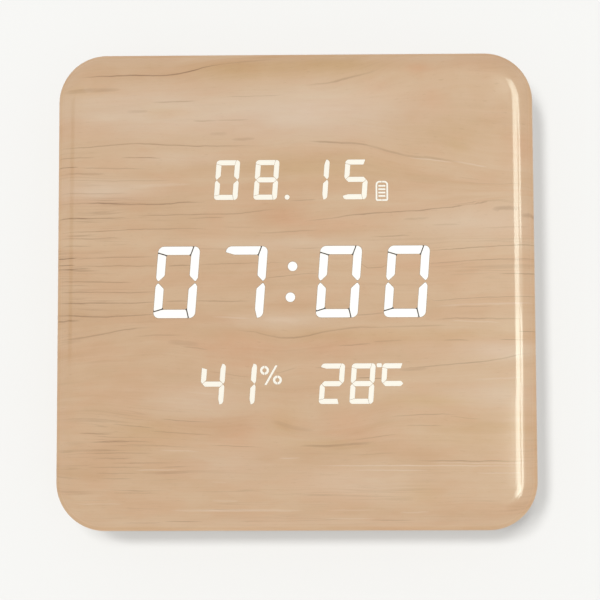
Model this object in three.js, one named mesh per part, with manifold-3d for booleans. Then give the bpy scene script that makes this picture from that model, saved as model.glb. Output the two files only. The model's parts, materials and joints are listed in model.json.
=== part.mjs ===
// A square wooden digital clock with a rechargeable cell, for a wall or a desk.
// Its face shows the date, the time, the humidity and the temperature as lit seven-segment digits.
// Lengths are millimetres. X runs to the right of someone who looks at the face, Y from the face
// to the back, and Z up. The origin is the middle of the underside. Front views are drawn about
// the middle of the face, and a level is a place along Y, counted from the middle of the depth.
import * as THREE from "three";
import { mergeVertices } from "three/addons/utils/BufferGeometryUtils.js";
import Module from "manifold-3d";

const wasm = await Module();
wasm.setup();

// The wooden case
const caseWidth = 170;
const caseHeight = 170;
const caseDepth = 30;
const caseCornerRadius = 17.3;
const faceEdgeRound = 7.5;
const rearChamfer = 0.6;
const frontWall = 3;
const sideWall = 6;
const rimWall = 3; // what is left of the side wall beside the rear cover
const faceWeb = 1; // the wood that is left in front of the display

// Clearances
const seatGap = 0.1; // between pieces that are glued, stacked or screwed together
const fitGap = 0.3; // round a piece that drops into an opening
const moveGap = 0.25; // round a piece that moves
const overrun = 1; // how far a cut runs past the face that it opens
const pointSpacing = 0.02; // outline points closer than this are one

// The lit digits
const slantAngle = THREE.MathUtils.degToRad(4.3);
const displayX = -1.4; // the middle of the display from the middle of the face
const displayZ = 2.7;
const timeDigit = { width: 14.85, height: 25.4, stroke: 3.1, seam: 0.3 };
const smallDigit = { width: 8.4, height: 14.2, stroke: 1.85, seam: 0.15 };
const cornerShare = 0.66; // these five are shares of a digit's stroke
const seamReachShare = 0.74;
const tipInsetShare = 0.28;
const outerShoulderShare = 0.46;
const innerShoulderShare = 0.74;
const timePitch = 24;
const timeMiddleGap = 33.4; // between the middles of the second and third time digits
const colonSpacing = 10.9;
const colonDotRadius = 1.75;
const dateRise = 36.3; // the date row above the time row
const datePitch = 13.9;
const dateMiddleGap = 17.7;
const dateDotRadius = 0.9;
const dateDotX = -1; // from the middle of the display, before the slant
const climateDrop = 36; // the humidity and temperature row below the time row
const climatePitch = 10.8;
const humidityX = -27.7; // the first humidity digit from the middle of the display
const temperatureX = 14;
const batteryWidth = 4.45;
const batteryHeight = 7.2;
const batteryLine = 0.65;
const batteryTopRadius = 1.4;
const batteryFootRadius = 0.7;
const batteryX = 32.3;
const batteryDrop = 4.2; // below the middle of the date row
const batteryBars = 4;
const batteryBarWidth = 2.55;
const batteryBarPitch = 1.2;
const percentRingRadius = 1.6;
const percentLine = 0.88;
const percentX = -7.1; // the middle of the slash from the middle of the display
const percentRise = 3.1; // above the middle of the climate row
const percentSpanX = 4.5; // between the middles of the two rings
const percentSpanZ = 3.4;
const percentSlashHeight = 6.9;
const percentSlashLean = 3.9;
const degreeWidth = 1.9;
const degreeHeight = 1.5;
const degreeX = 30.8;
const degreeRadius = 0.4;
const bridgeWidth = 0.3; // the wood that holds the middle of a ring

// The display module behind the face
const guidePlate = 1; // the light guide's base plate
const guideMargin = 3; // from a row's digits to the plate's edge
const guideRecess = 0.05; // the lit faces lie this far behind the wood
const moduleWidth = 106;
const moduleHeight = 94;
const moduleRadius = 2;
const moduleDepth = 6;
const flangeStep = 0.9; // how far the narrow front of the reflector stands in the wood's pocket
const flangeSide = 6;
const flangeEnd = 4;
const cellInset = 0.28;
const boardThickness = 1.6;
const ledWidth = 1.6;
const ledHeight = 0.8;
const ledDepth = 0.7;

// The control board, carried by the rear cover
const controlWidth = 100;
const controlHeight = 24;
const controlDrop = 26; // the row of keys below the hanger's head hole
const controlReach = 8.6; // from the control board's front to the rear cover
const headerWidth = 22;
const headerHeight = 5;
const headerRise = 8; // above the middle of the control board
const keyPitch = 15;
const switchSide = 6;
const switchDepth = 3.5;
const plungerRadius = 1.75;
const plungerStand = 1.4; // what stands out of the switch
const plungerSeat = 1.7; // what is inside it
const keyTravel = 0.5;
const keyRadius = 3.5;
const keyProud = 0.7; // above the cover
const keyEdge = 0.4;
const keyDish = 0.25;
const keyCollar = 1.1; // how far the collar stands out, and how thick it is
const slideX = 31;
const slideWidth = 8.6;
const slideHeight = 4.4;
const slideDepth = 4;
const slideTravel = 2;
const knobWidth = 3.6;
const knobHeight = 2.6;
const knobProud = 0.5;
const knobStem = 1.5;
const knobStemDepth = 1.6;
const portX = -31;
const portWidth = 8.94;
const portHeight = 3.26;
const portShell = 0.3;
const portRecess = 0.3; // behind the cover's outer face
const portInsertDepth = 2;
const tongueWidth = 6.7;
const tongueHeight = 0.7;
const tongueRecess = 1; // behind the mouth of the port
const buzzerX = -44;
const buzzerRadius = 4.8;
const buzzerDepth = 5;
const buzzerHoleRadius = 1;
const buzzerHoleDepth = 1.2;
const sensorX = 44;
const sensorSide = 3;
const sensorDepth = 1.1;
const socketX = 20;
const socketWidth = 6;
const socketHeight = 4.6;
const socketDepth = 4;
const socketEdge = 0.8; // from the board's lower edge

// What the display board carries behind
const cellWidth = 50;
const cellHeight = 32;
const cellDepth = 8;
const cellEdge = 2;
const cellGap = 5; // below the control board
const tapeMargin = 5;
const tapeThickness = 1;
const leadRadius = 0.6;
const leadSpacing = 2;
const leadLevelShare = 0.25; // how far behind the cell's middle a lead leaves, as a share of its depth
const leadBendShares = [[0.25, 0.4], [0.85, 0.65]]; // its two bends, as shares of its run along Y and Z
const chipSide = 10;
const chipDepth = 1.2;
const chipGap = 8; // from the cell's side
const chipDrop = 27.7; // below the middle of the display
const crystalRadius = 1;
const crystalLength = 6;
const crystalGap = 4; // below the chip

// The rear cover
const coverThickness = 2.2;
const coverRecess = 1.2; // behind the case's rear rim
const screwInset = 13.5; // from the case's outline to a cover screw
const blockSide = 16;
const postRadius = 2.6;
const postX = 38;
const postRise = 8.5; // above the middle of the control board
const hangerDrop = 27; // the head hole below the case's top
const hangerHeadRadius = 4.75;
const hangerSlotWidth = 4.8;
const hangerSlotRise = 10;
const hangerDepth = 6.6;
const pocketWall = 1.5;
const hangerMargin = 2; // from the screw hole to the hanger pocket's wall
const ventCount = 5;
const ventWidth = 1.2;
const ventHeight = 11;
const ventPitch = 2.6;
const soundHoleRadius = 0.7;
const soundRingRadius = 2.6;
const soundHoles = 6;

// The fold-out stand
const pivotRise = 12; // the hinge line above the case's underside
const pivotDepth = 2.6; // the hinge line behind the cover's outer face
const barrelRadius = 2.4;
const legLength = 46;
const legHingeWidth = 30;
const legTipWidth = 25;
const legTipRadius = 5;
const legThickness = 3.2;
const legSkin = 1.4;
const legRib = 2;
const legEdge = 3; // from the leg's sides to its recesses
const hingePinRadius = 1;
const hingeBoss = 4;
const hingeBossHeight = 7;
const standDepth = 5.4; // of the pocket that the leg folds into
const scoopHeight = 8;
const padWidth = 18;
const padHeight = 4;
const padThickness = 1.4;
const padSeat = 0.7;
const padEdge = 2.5; // from the leg's tip

// Screws: the head's radius and height, the shank's radius and length
const coverScrew = { head: 2.75, headHeight: 1.6, shank: 1.3, length: 12 };
const displayScrew = { head: 2.3, headHeight: 1.5, shank: 1.1, length: 8.3 };
const boardScrew = { head: 2.2, headHeight: 1.4, shank: 1, length: 6 };
const counterboreDepth = 1.1;
const headGap = 0.35; // round a screw head in its counterbore
const driveShare = 0.62; // the cross recess as shares of the screw head
const driveSlotShare = 0.2;
const driveDepthShare = 0.5;

// Levels along Y, from the face to the back
const faceY = -caseDepth / 2;
const rearY = caseDepth / 2;
const wallY = faceY + frontWall;
const webY = faceY + faceWeb;
const guideY = webY + seatGap;
const reflectorY = guideY + guidePlate + seatGap;
const displayBoardY = reflectorY + moduleDepth + seatGap;
const displayRearY = displayBoardY + boardThickness;
const displayPartY = displayRearY + seatGap; // where the display board's parts stand
const cellY = displayPartY + tapeThickness + seatGap + cellDepth / 2;
const coverOuterY = rearY - coverRecess;
const coverInnerY = coverOuterY - coverThickness;
const controlBoardY = coverInnerY - controlReach;
const controlRearY = controlBoardY + boardThickness;
const partY = controlRearY + seatGap; // where the control board's parts stand
const pivotY = coverOuterY - pivotDepth;
const standFloorY = coverOuterY - standDepth;

// Heights, from the middle of the face
const pivotZ = pivotRise - caseHeight / 2;
const hangerZ = caseHeight / 2 - hangerDrop;
const controlZ = hangerZ - controlDrop;
const headerZ = controlZ + headerRise;
const cellZ = controlZ - controlHeight / 2 - cellGap - cellHeight / 2;

const chipX = -cellWidth / 2 - chipGap - chipSide / 2;
const chipZ = displayZ - chipDrop;

// Finishes
const finishes = {
  wood: { color: 0xd2b08c, roughness: 0.5, metalness: 0 },
  rawWood: { color: 0xc9a77c, roughness: 0.8, metalness: 0 },
  litGuide: { color: 0xfffdf2, roughness: 0.4, metalness: 0, emissive: 0xfffbe8 },
  blackPlastic: { color: 0x1b1b1c, roughness: 0.7, metalness: 0 },
  coverPlastic: { color: 0xefece5, roughness: 0.6, metalness: 0 },
  keyPlastic: { color: 0xdedad1, roughness: 0.5, metalness: 0 },
  circuitBoard: { color: 0x1f5a38, roughness: 0.6, metalness: 0 },
  steel: { color: 0xb9babb, roughness: 0.35, metalness: 1 },
  cellFoil: { color: 0xc3c6c9, roughness: 0.4, metalness: 0.8 },
  foamTape: { color: 0xe9e6df, roughness: 0.95, metalness: 0 },
  redSleeve: { color: 0xb3261e, roughness: 0.5, metalness: 0 },
  blackSleeve: { color: 0x1a1a1a, roughness: 0.5, metalness: 0 },
  socketPlastic: { color: 0xf3efe2, roughness: 0.6, metalness: 0 },
  silicone: { color: 0x4b4a48, roughness: 0.8, metalness: 0 },
};

// Turns a closed geometry into a solid that can be joined and cut.
function solidFrom(geometry) {
  const plain = geometry.clone();
  plain.deleteAttribute("normal");
  plain.deleteAttribute("uv");
  const merged = mergeVertices(plain);
  const made = new wasm.Manifold(
    new wasm.Mesh({
      numProp: 3,
      vertProperties: new Float32Array(merged.attributes.position.array),
      triVerts: new Uint32Array(merged.index.array),
    }),
  );
  return made;
}

// Turns a solid back into a geometry that a mesh can hold.
function geometryFrom(solid) {
  const { numProp, vertProperties, triVerts } = solid.getMesh();
  const places = [];
  for (let start = 0; start < vertProperties.length; start += numProp) {
    places.push(...vertProperties.subarray(start, start + 3));
  }
  const geometry = new THREE.BufferGeometry();
  geometry.setAttribute("position", new THREE.Float32BufferAttribute(places, 3));
  geometry.setIndex([...triVerts]);
  geometry.computeVertexNormals();
  return geometry;
}

const joined = (solids) => solids.reduce((sum, solid) => sum.add(solid));
const without = (solid, cuts) => cuts.reduce((left, cut) => left.subtract(cut), solid);

// Front-view outlines, as THREE.Shape
function roundedShape(width, height, radius, x = 0, z = 0, steps = 4) {
  const right = width / 2 - radius;
  const top = height / 2 - radius;
  const corners = [
    [right, top, 0],
    [-right, top, 1],
    [-right, -top, 2],
    [right, -top, 3],
  ];
  const points = corners.flatMap(([cx, cz, quarter]) => arc(x + cx, z + cz, radius, quarter, quarter + 1, steps));
  return new THREE.Shape(points);
}

// Points along an arc, from and to given in quarter turns
function arc(x, z, radius, from, to, steps) {
  return Array.from({ length: steps + 1 }, (_, step) => {
    const angle = ((from + ((to - from) * step) / steps) * Math.PI) / 2;
    return new THREE.Vector2(x + radius * Math.cos(angle), z + radius * Math.sin(angle));
  });
}

function boxShape(width, height, x = 0, z = 0) {
  const w = width / 2;
  const h = height / 2;
  return new THREE.Shape([
    new THREE.Vector2(x - w, z - h),
    new THREE.Vector2(x + w, z - h),
    new THREE.Vector2(x + w, z + h),
    new THREE.Vector2(x - w, z + h),
  ]);
}

function discShape(radius, x = 0, z = 0, sides = 16) {
  return new THREE.Shape(arc(x, z, radius, 0, 4, sides).slice(0, sides));
}

// A front-view outline given depth, from one level to another
function slab(shape, fromY, toY) {
  const geometry = new THREE.ExtrudeGeometry(shape, { depth: toY - fromY, bevelEnabled: false });
  geometry.rotateX(Math.PI / 2);
  geometry.translate(0, toY, 0);
  return solidFrom(geometry);
}

// A turned piece on the Y axis; its profile is [radius, level] pairs that start and end on the axis.
function turned(profile, sides = 16) {
  const points = profile.map(([radius, level]) => new THREE.Vector2(radius, level));
  return solidFrom(new THREE.LatheGeometry(points, sides));
}

const rod = (radius, fromY, toY, sides) =>
  turned([[0, fromY], [radius, fromY], [radius, toY], [0, toY]], sides);

// The same rod, lying along X
function crossRod(radius, length, y, z, sides) {
  const geometry = new THREE.CylinderGeometry(radius, radius, length, sides);
  geometry.rotateZ(Math.PI / 2);
  geometry.translate(0, y, z);
  return solidFrom(geometry);
}

// The case's outline, drawn in by an inset and with its corner radius drawn in alike
function caseShape(inset, steps = 8) {
  return roundedShape(caseWidth - 2 * inset, caseHeight - 2 * inset, caseCornerRadius - inset, 0, 0, steps);
}

// A closed skin through rings of equal point count, each an outline at its own level
function lofted(rings) {
  const count = rings[0].points.length;
  const places = rings.flatMap(({ points, level }) => points.flatMap((p) => [p.x, level, p.y]));
  const faces = [];
  for (let ring = 0; ring + 1 < rings.length; ring++) {
    for (let i = 0; i < count; i++) {
      const a = ring * count + i;
      const b = ring * count + ((i + 1) % count);
      faces.push(a, b, a + count, b, b + count, a + count);
    }
  }
  const cap = THREE.ShapeUtils.triangulateShape(rings[0].points, []);
  const last = (rings.length - 1) * count;
  cap.forEach(([a, b, c]) => faces.push(a, c, b, last + a, last + b, last + c));
  const geometry = new THREE.BufferGeometry();
  geometry.setAttribute("position", new THREE.Float32BufferAttribute(places, 3));
  geometry.setIndex(faces);
  return solidFrom(geometry);
}

// The seven bars of a digit, as outlines about its middle, upright. A runs along the top, then
// B to F follow clockwise and G crosses the middle. A and D hold the left corners and B and C
// the right ones, so the seams lean as they do on a moulded display.
function segmentOutlines({ width, height, stroke, seam }, steps) {
  const w = width / 2;
  const h = height / 2;
  const innerW = w - stroke;
  const innerH = h - stroke;
  const half = seam / 2;
  const corner = cornerShare * stroke;
  const reach = seamReachShare * stroke;
  const tip = w - tipInsetShare * stroke;
  const outer = outerShoulderShare * stroke;
  const inner = innerShoulderShare * stroke;
  const point = (x, z) => new THREE.Vector2(x, z);
  const top = [
    point(-w, h - reach + half),
    point(-innerW, innerH),
    point(innerW - seam, innerH),
    point(w - reach - half, h),
    ...arc(corner - w, h - corner, corner, 1, 2, steps),
  ];
  const upperRight = [
    point(innerW, innerH),
    point(innerW, inner),
    point(tip, half),
    point(w, outer),
    ...arc(w - corner, h - corner, corner, 0, 1, steps),
    point(w - reach + half, h),
  ];
  const upperLeft = [
    point(-w, h - reach - half),
    point(-w, outer),
    point(-tip, half),
    point(-innerW, inner),
    point(-innerW, innerH - 2 * seam),
  ];
  const end = tip - seam * Math.SQRT2;
  const shoulder = end - stroke / 2;
  const middle = [
    point(-end, 0),
    point(-shoulder, -stroke / 2),
    point(shoulder, -stroke / 2),
    point(end, 0),
    point(shoulder, stroke / 2),
    point(-shoulder, stroke / 2),
  ];
  const below = (points) => points.map((p) => point(p.x, -p.y)).reverse();
  return {
    A: top,
    B: upperRight,
    C: below(upperRight),
    D: below(top),
    E: below(upperLeft),
    F: upperLeft,
    G: middle,
  };
}

// Which bars are lit for each figure; C is the unit, shown in a digit's upper half.
const litBars = { 0: "ABCDEF", 1: "BC", 2: "ABDEG", 4: "BCFG", 5: "ACDFG", 7: "ABC", 8: "ABCDEFG", C: "AFG" };

// Draws a convex outline in: each edge cuts off all that lies nearer to it than the distance.
function inset(points, by) {
  if (by === 0) return points;
  let kept = points;
  points.forEach((from, i) => {
    const along = points[(i + 1) % points.length].clone().sub(from).normalize();
    const depth = (point) => along.cross(point.clone().sub(from)) - by;
    const next = (j) => kept[(j + 1) % kept.length];
    kept = kept.flatMap((point, j) => {
      const here = depth(point);
      const there = depth(next(j));
      const cut = here * there < 0 ? [point.clone().lerp(next(j), here / (here - there))] : [];
      return here > 0 ? [point, ...cut] : cut;
    });
  });
  return kept.filter((point, i) => point.distanceTo(kept.at(i - 1)) > pointSpacing);
}

// Places a point of an upright row in the display and slants it about its row's middle.
function slantedPoint(point, x, z) {
  return new THREE.Vector2(displayX + x + point.x + Math.tan(slantAngle) * point.y, displayZ + z + point.y);
}

const slanted = (points, x, z) => new THREE.Shape(points.map((point) => slantedPoint(point, x, z)));

// A row's figures and where each stands, from the middle of the display
const timeRow = [
  { figure: "0", x: -timeMiddleGap / 2 - timePitch },
  { figure: "7", x: -timeMiddleGap / 2 },
  { figure: "0", x: timeMiddleGap / 2 },
  { figure: "0", x: timeMiddleGap / 2 + timePitch },
].map((place) => ({ ...place, z: 0, digit: timeDigit }));
const dateRow = [
  { figure: "0", x: -dateMiddleGap / 2 - datePitch },
  { figure: "8", x: -dateMiddleGap / 2 },
  { figure: "1", x: dateMiddleGap / 2 },
  { figure: "5", x: dateMiddleGap / 2 + datePitch },
].map((place) => ({ ...place, z: dateRise, digit: smallDigit }));
const humidityRow = [..."41"].map((figure, i) => ({
  figure,
  x: humidityX + i * climatePitch,
  z: -climateDrop,
  digit: smallDigit,
}));
const temperatureRow = [..."28C"].map((figure, i) => ({
  figure,
  x: temperatureX + i * climatePitch,
  z: -climateDrop,
  digit: smallDigit,
}));

// The lit bars of a row as solids between two levels, each drawn in by the inset
function litBarsOf(row, by, fromY, toY) {
  return row.flatMap(({ figure, x, z, digit }) => {
    const outlines = segmentOutlines(digit, digit === timeDigit ? 3 : 1);
    return [...litBars[figure]].map((bar) => slab(slanted(inset(outlines[bar], by), x, z), fromY, toY));
  });
}

// A round lit dot, given as its place in an upright row
function litDot(radius, x, z, rowZ, fromY, toY) {
  const centre = slantedPoint(new THREE.Vector2(0, z), x, rowZ);
  return slab(discShape(radius, centre.x, centre.y, 12), fromY, toY);
}

// An outline with a round or rounded hole, cut at top and foot so that the wood inside stays held
function litRing(outerShape, innerShape, x, z, height, by, fromY, toY) {
  const bridge = boxShape(bridgeWidth + 2 * by, height + overrun, x, z);
  return without(slab(outerShape, fromY, toY), [
    slab(innerShape, fromY - overrun, toY + overrun),
    slab(bridge, fromY - overrun, toY + overrun),
  ]);
}

function litColon(by, fromY, toY) {
  return [1, -1].map((side) => litDot(colonDotRadius - by, 0, (side * colonSpacing) / 2, 0, fromY, toY));
}

function litDateDot(by, fromY, toY) {
  const foot = -smallDigit.height / 2 + dateDotRadius;
  return [litDot(dateDotRadius - by, dateDotX, foot, dateRise, fromY, toY)];
}

// The charge sign: a rounded frame, rounder at the top, with bars in it
function litBattery(by, fromY, toY) {
  const x = displayX + batteryX;
  const z = displayZ + dateRise - batteryDrop;
  const frame = (grow) => {
    const w = batteryWidth / 2 + grow;
    const h = batteryHeight / 2 + grow;
    const head = batteryTopRadius + grow;
    const foot = batteryFootRadius + grow;
    return new THREE.Shape([
      ...arc(x + w - head, z + h - head, head, 0, 1, 3),
      ...arc(x - w + head, z + h - head, head, 1, 2, 3),
      ...arc(x - w + foot, z - h + foot, foot, 2, 3, 2),
      ...arc(x + w - foot, z - h + foot, foot, 3, 4, 2),
    ]);
  };
  const ring = litRing(frame(-by), frame(by - batteryLine), x, z, batteryHeight, by, fromY, toY);
  const bars = Array.from({ length: batteryBars }, (_, i) => {
    const rise = (i - (batteryBars - 1) / 2) * batteryBarPitch;
    return slab(boxShape(batteryBarWidth - 2 * by, batteryLine - 2 * by, x, z + rise), fromY, toY);
  });
  return [ring, ...bars];
}

// The sign for per cent: two rings and a leaning bar
function litPercent(by, fromY, toY) {
  const x = displayX + percentX;
  const z = displayZ - climateDrop + percentRise;
  const rings = [1, -1].map((side) => {
    const ringX = x - (side * percentSpanX) / 2;
    const ringZ = z + (side * percentSpanZ) / 2;
    const outer = discShape(percentRingRadius - by, ringX, ringZ, 14);
    const inner = discShape(percentRingRadius - percentLine + by, ringX, ringZ, 10);
    return litRing(outer, inner, ringX, ringZ, 2 * percentRingRadius, by, fromY, toY);
  });
  const lean = percentSlashLean / 2;
  const rise = percentSlashHeight / 2;
  const line = percentLine / 2;
  const corners = [
    [-lean - line, -rise],
    [-lean + line, -rise],
    [lean + line, rise],
    [lean - line, rise],
  ].map(([cx, cz]) => new THREE.Vector2(x + cx, z + cz));
  return [...rings, slab(new THREE.Shape(inset(corners, by)), fromY, toY)];
}

function litDegree(by, fromY, toY) {
  const z = displayZ - climateDrop + (smallDigit.height - degreeHeight) / 2;
  const shape = roundedShape(
    degreeWidth - 2 * by,
    degreeHeight - 2 * by,
    degreeRadius,
    displayX + degreeX,
    z,
    2,
  );
  return [slab(shape, fromY, toY)];
}

// Everything that is lit, by light guide, with the edges of each guide's plate
const lightGuides = {
  time: {
    lit: (by, from, to) => [...litBarsOf(timeRow, by, from, to), ...litColon(by, from, to)],
    row: timeRow,
    sign: 0,
  },
  date: {
    lit: (by, from, to) => [
      ...litBarsOf(dateRow, by, from, to),
      ...litDateDot(by, from, to),
      ...litBattery(by, from, to),
    ],
    row: dateRow,
    sign: batteryX + batteryWidth / 2 - dateRow.at(-1).x - smallDigit.width / 2,
  },
  humidity: {
    lit: (by, from, to) => [...litBarsOf(humidityRow, by, from, to), ...litPercent(by, from, to)],
    row: humidityRow,
    sign: percentX + percentSpanX / 2 + percentRingRadius - humidityRow.at(-1).x - smallDigit.width / 2,
  },
  temperature: {
    lit: (by, from, to) => [...litBarsOf(temperatureRow, by, from, to), ...litDegree(by, from, to)],
    row: temperatureRow,
    sign: 0,
  },
};

// A light guide: a plate behind the wood, with a raised face in each lit window
function lightGuideSolid({ lit, row, sign }) {
  const { digit, z } = row[0];
  const left = row[0].x - digit.width / 2 - guideMargin;
  const right = row.at(-1).x + digit.width / 2 + sign + guideMargin;
  const height = digit.height + 2 * guideMargin;
  const plate = boxShape(right - left, height, displayX + (left + right) / 2, displayZ + z);
  return joined([slab(plate, guideY, guideY + guidePlate), ...lit(seatGap, faceY + guideRecess, guideY + guidePlate / 2)]);
}

// The case: a rounded wooden box, hollowed from behind, thinned and pierced in front of the display
function caseSolid() {
  const steps = 6;
  const rings = [
    { points: caseShape(rearChamfer).getPoints(), level: rearY },
    { points: caseShape(0).getPoints(), level: rearY - rearChamfer },
  ];
  for (let step = 0; step <= steps; step++) {
    const turn = (step / steps) * (Math.PI / 2);
    rings.push({
      points: caseShape(faceEdgeRound * (1 - Math.cos(turn))).getPoints(),
      level: faceY + faceEdgeRound * (1 - Math.sin(turn)),
    });
  }
  const windows = Object.values(lightGuides).flatMap(({ lit }) => lit(0, faceY - overrun, webY + overrun));
  const pocket = roundedShape(
    moduleWidth + 2 * fitGap,
    moduleHeight + 2 * fitGap,
    moduleRadius,
    displayX,
    displayZ,
  );
  const pilots = displayScrewPlaces().map(([x, z]) =>
    slab(discShape(displayScrew.shank + seatGap, x, z, 10), pilotFloorY(), wallY + overrun),
  );
  return without(lofted(rings), [
    slab(caseShape(sideWall), wallY, rearY + overrun),
    slab(caseShape(rimWall), coverInnerY - seatGap, rearY + overrun),
    slab(pocket, webY, wallY + overrun),
    ...pilots,
    ...windows,
  ]);
}

// The display screws stand in the reflector's flange, beside the pocket.
function displayScrewPlaces() {
  const x = moduleWidth / 2 + flangeSide / 2 + fitGap / 2;
  const z = moduleHeight / 2 - flangeEnd;
  return [
    [displayX - x, displayZ - z],
    [displayX + x, displayZ - z],
    [displayX - x, displayZ + z],
    [displayX + x, displayZ + z],
  ];
}

const pilotFloorY = () => displayRearY + seatGap - displayScrew.length - fitGap;

// The reflector: a black block with a light well for every bar, lit or not
function reflectorSolid() {
  const front = roundedShape(moduleWidth, moduleHeight, moduleRadius, displayX, displayZ);
  const flange = flangeShape();
  const flangeY = wallY + seatGap;
  const rear = reflectorY + moduleDepth;
  const body = joined([slab(front, reflectorY, rear), slab(flange, flangeY, rear)]);
  const wells = [...timeRow, ...dateRow, ...humidityRow, ...temperatureRow].flatMap(({ x, z, digit }) =>
    Object.values(segmentOutlines(digit, 1)).map((outline) =>
      slab(slanted(inset(outline, cellInset), x, z), reflectorY - overrun, rear + overrun),
    ),
  );
  const signs = [
    ...litColon(0, reflectorY - overrun, rear + overrun),
    ...litDateDot(0, reflectorY - overrun, rear + overrun),
    slab(
      boxShape(batteryWidth, batteryHeight, displayX + batteryX, displayZ + dateRise - batteryDrop),
      reflectorY - overrun,
      rear + overrun,
    ),
  ];
  const holes = displayScrewPlaces().map(([x, z]) =>
    slab(discShape(displayScrew.shank + fitGap, x, z, 10), flangeY - overrun, rear + overrun),
  );
  return without(body, [...wells, ...signs, ...holes]);
}

const flangeShape = () =>
  roundedShape(moduleWidth + 2 * flangeSide, moduleHeight + 2 * flangeEnd, moduleRadius, displayX, displayZ);

// The display board: one light-emitting diode stands in each well
function displayBoardSolid() {
  const holes = displayScrewPlaces().map(([x, z]) =>
    slab(discShape(displayScrew.shank + fitGap, x, z, 10), displayBoardY - overrun, displayRearY + overrun),
  );
  const diodes = [...timeRow, ...dateRow, ...humidityRow, ...temperatureRow].flatMap(({ x, z, digit }) =>
    Object.entries(segmentOutlines(digit, 1)).map(([bar, outline]) => {
      const sum = outline.reduce((total, point) => total.add(point), new THREE.Vector2());
      const at = slantedPoint(sum.divideScalar(outline.length), x, z);
      const upright = "BCEF".includes(bar);
      const shape = boxShape(upright ? ledHeight : ledWidth, upright ? ledWidth : ledHeight, at.x, at.y);
      return slab(shape, displayBoardY - ledDepth, displayBoardY + ledDepth);
    }),
  );
  return joined([without(slab(flangeShape(), displayBoardY, displayRearY), holes), ...diodes]);
}

// A pan-head screw on the Y axis: the head's underside is at 0 and the shank points to the face.
function screwSolid({ head, headHeight, shank, length }) {
  const body = turned(
    [
      [0, -length],
      [shank / 2, -length],
      [shank, shank - length],
      [shank, 0],
      [head, 0],
      [head, headHeight / 2],
      [head * driveShare, headHeight],
      [0, headHeight],
    ],
    12,
  );
  const slot = (width, height) =>
    slab(boxShape(width, height), headHeight * (1 - driveDepthShare), headHeight + overrun);
  const reach = 2 * head * driveShare * driveShare;
  const bar = 2 * head * driveSlotShare;
  return without(body, [slot(reach, bar), slot(bar, reach)]);
}

// A block glued into a corner of the case for a cover screw; drawn for the upper right corner
function cornerBlockSolid() {
  const inset = sideWall + seatGap;
  const right = caseWidth / 2 - inset;
  const top = caseHeight / 2 - inset;
  const radius = caseCornerRadius - inset;
  const at = coverScrewPlace();
  const shape = new THREE.Shape([
    new THREE.Vector2(right - blockSide, top - blockSide),
    new THREE.Vector2(right, top - blockSide),
    ...arc(right - radius, top - radius, radius, 0, 1, 4),
    new THREE.Vector2(right - blockSide, top),
  ]);
  const rear = coverInnerY - seatGap;
  const floor = coverOuterY - counterboreDepth + seatGap - coverScrew.length - fitGap;
  const pilot = slab(discShape(coverScrew.shank + seatGap, at.x, at.y, 12), floor, rear + overrun);
  return without(slab(shape, wallY + seatGap, rear), [pilot]);
}

const coverScrewPlace = () => new THREE.Vector2(caseWidth / 2 - screwInset, caseHeight / 2 - screwInset);

// The four corners, as signs for X and Z
const corners = [
  { name: "lower_left", x: -1, z: -1 },
  { name: "lower_right", x: 1, z: -1 },
  { name: "upper_left", x: -1, z: 1 },
  { name: "upper_right", x: 1, z: 1 },
];

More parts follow.
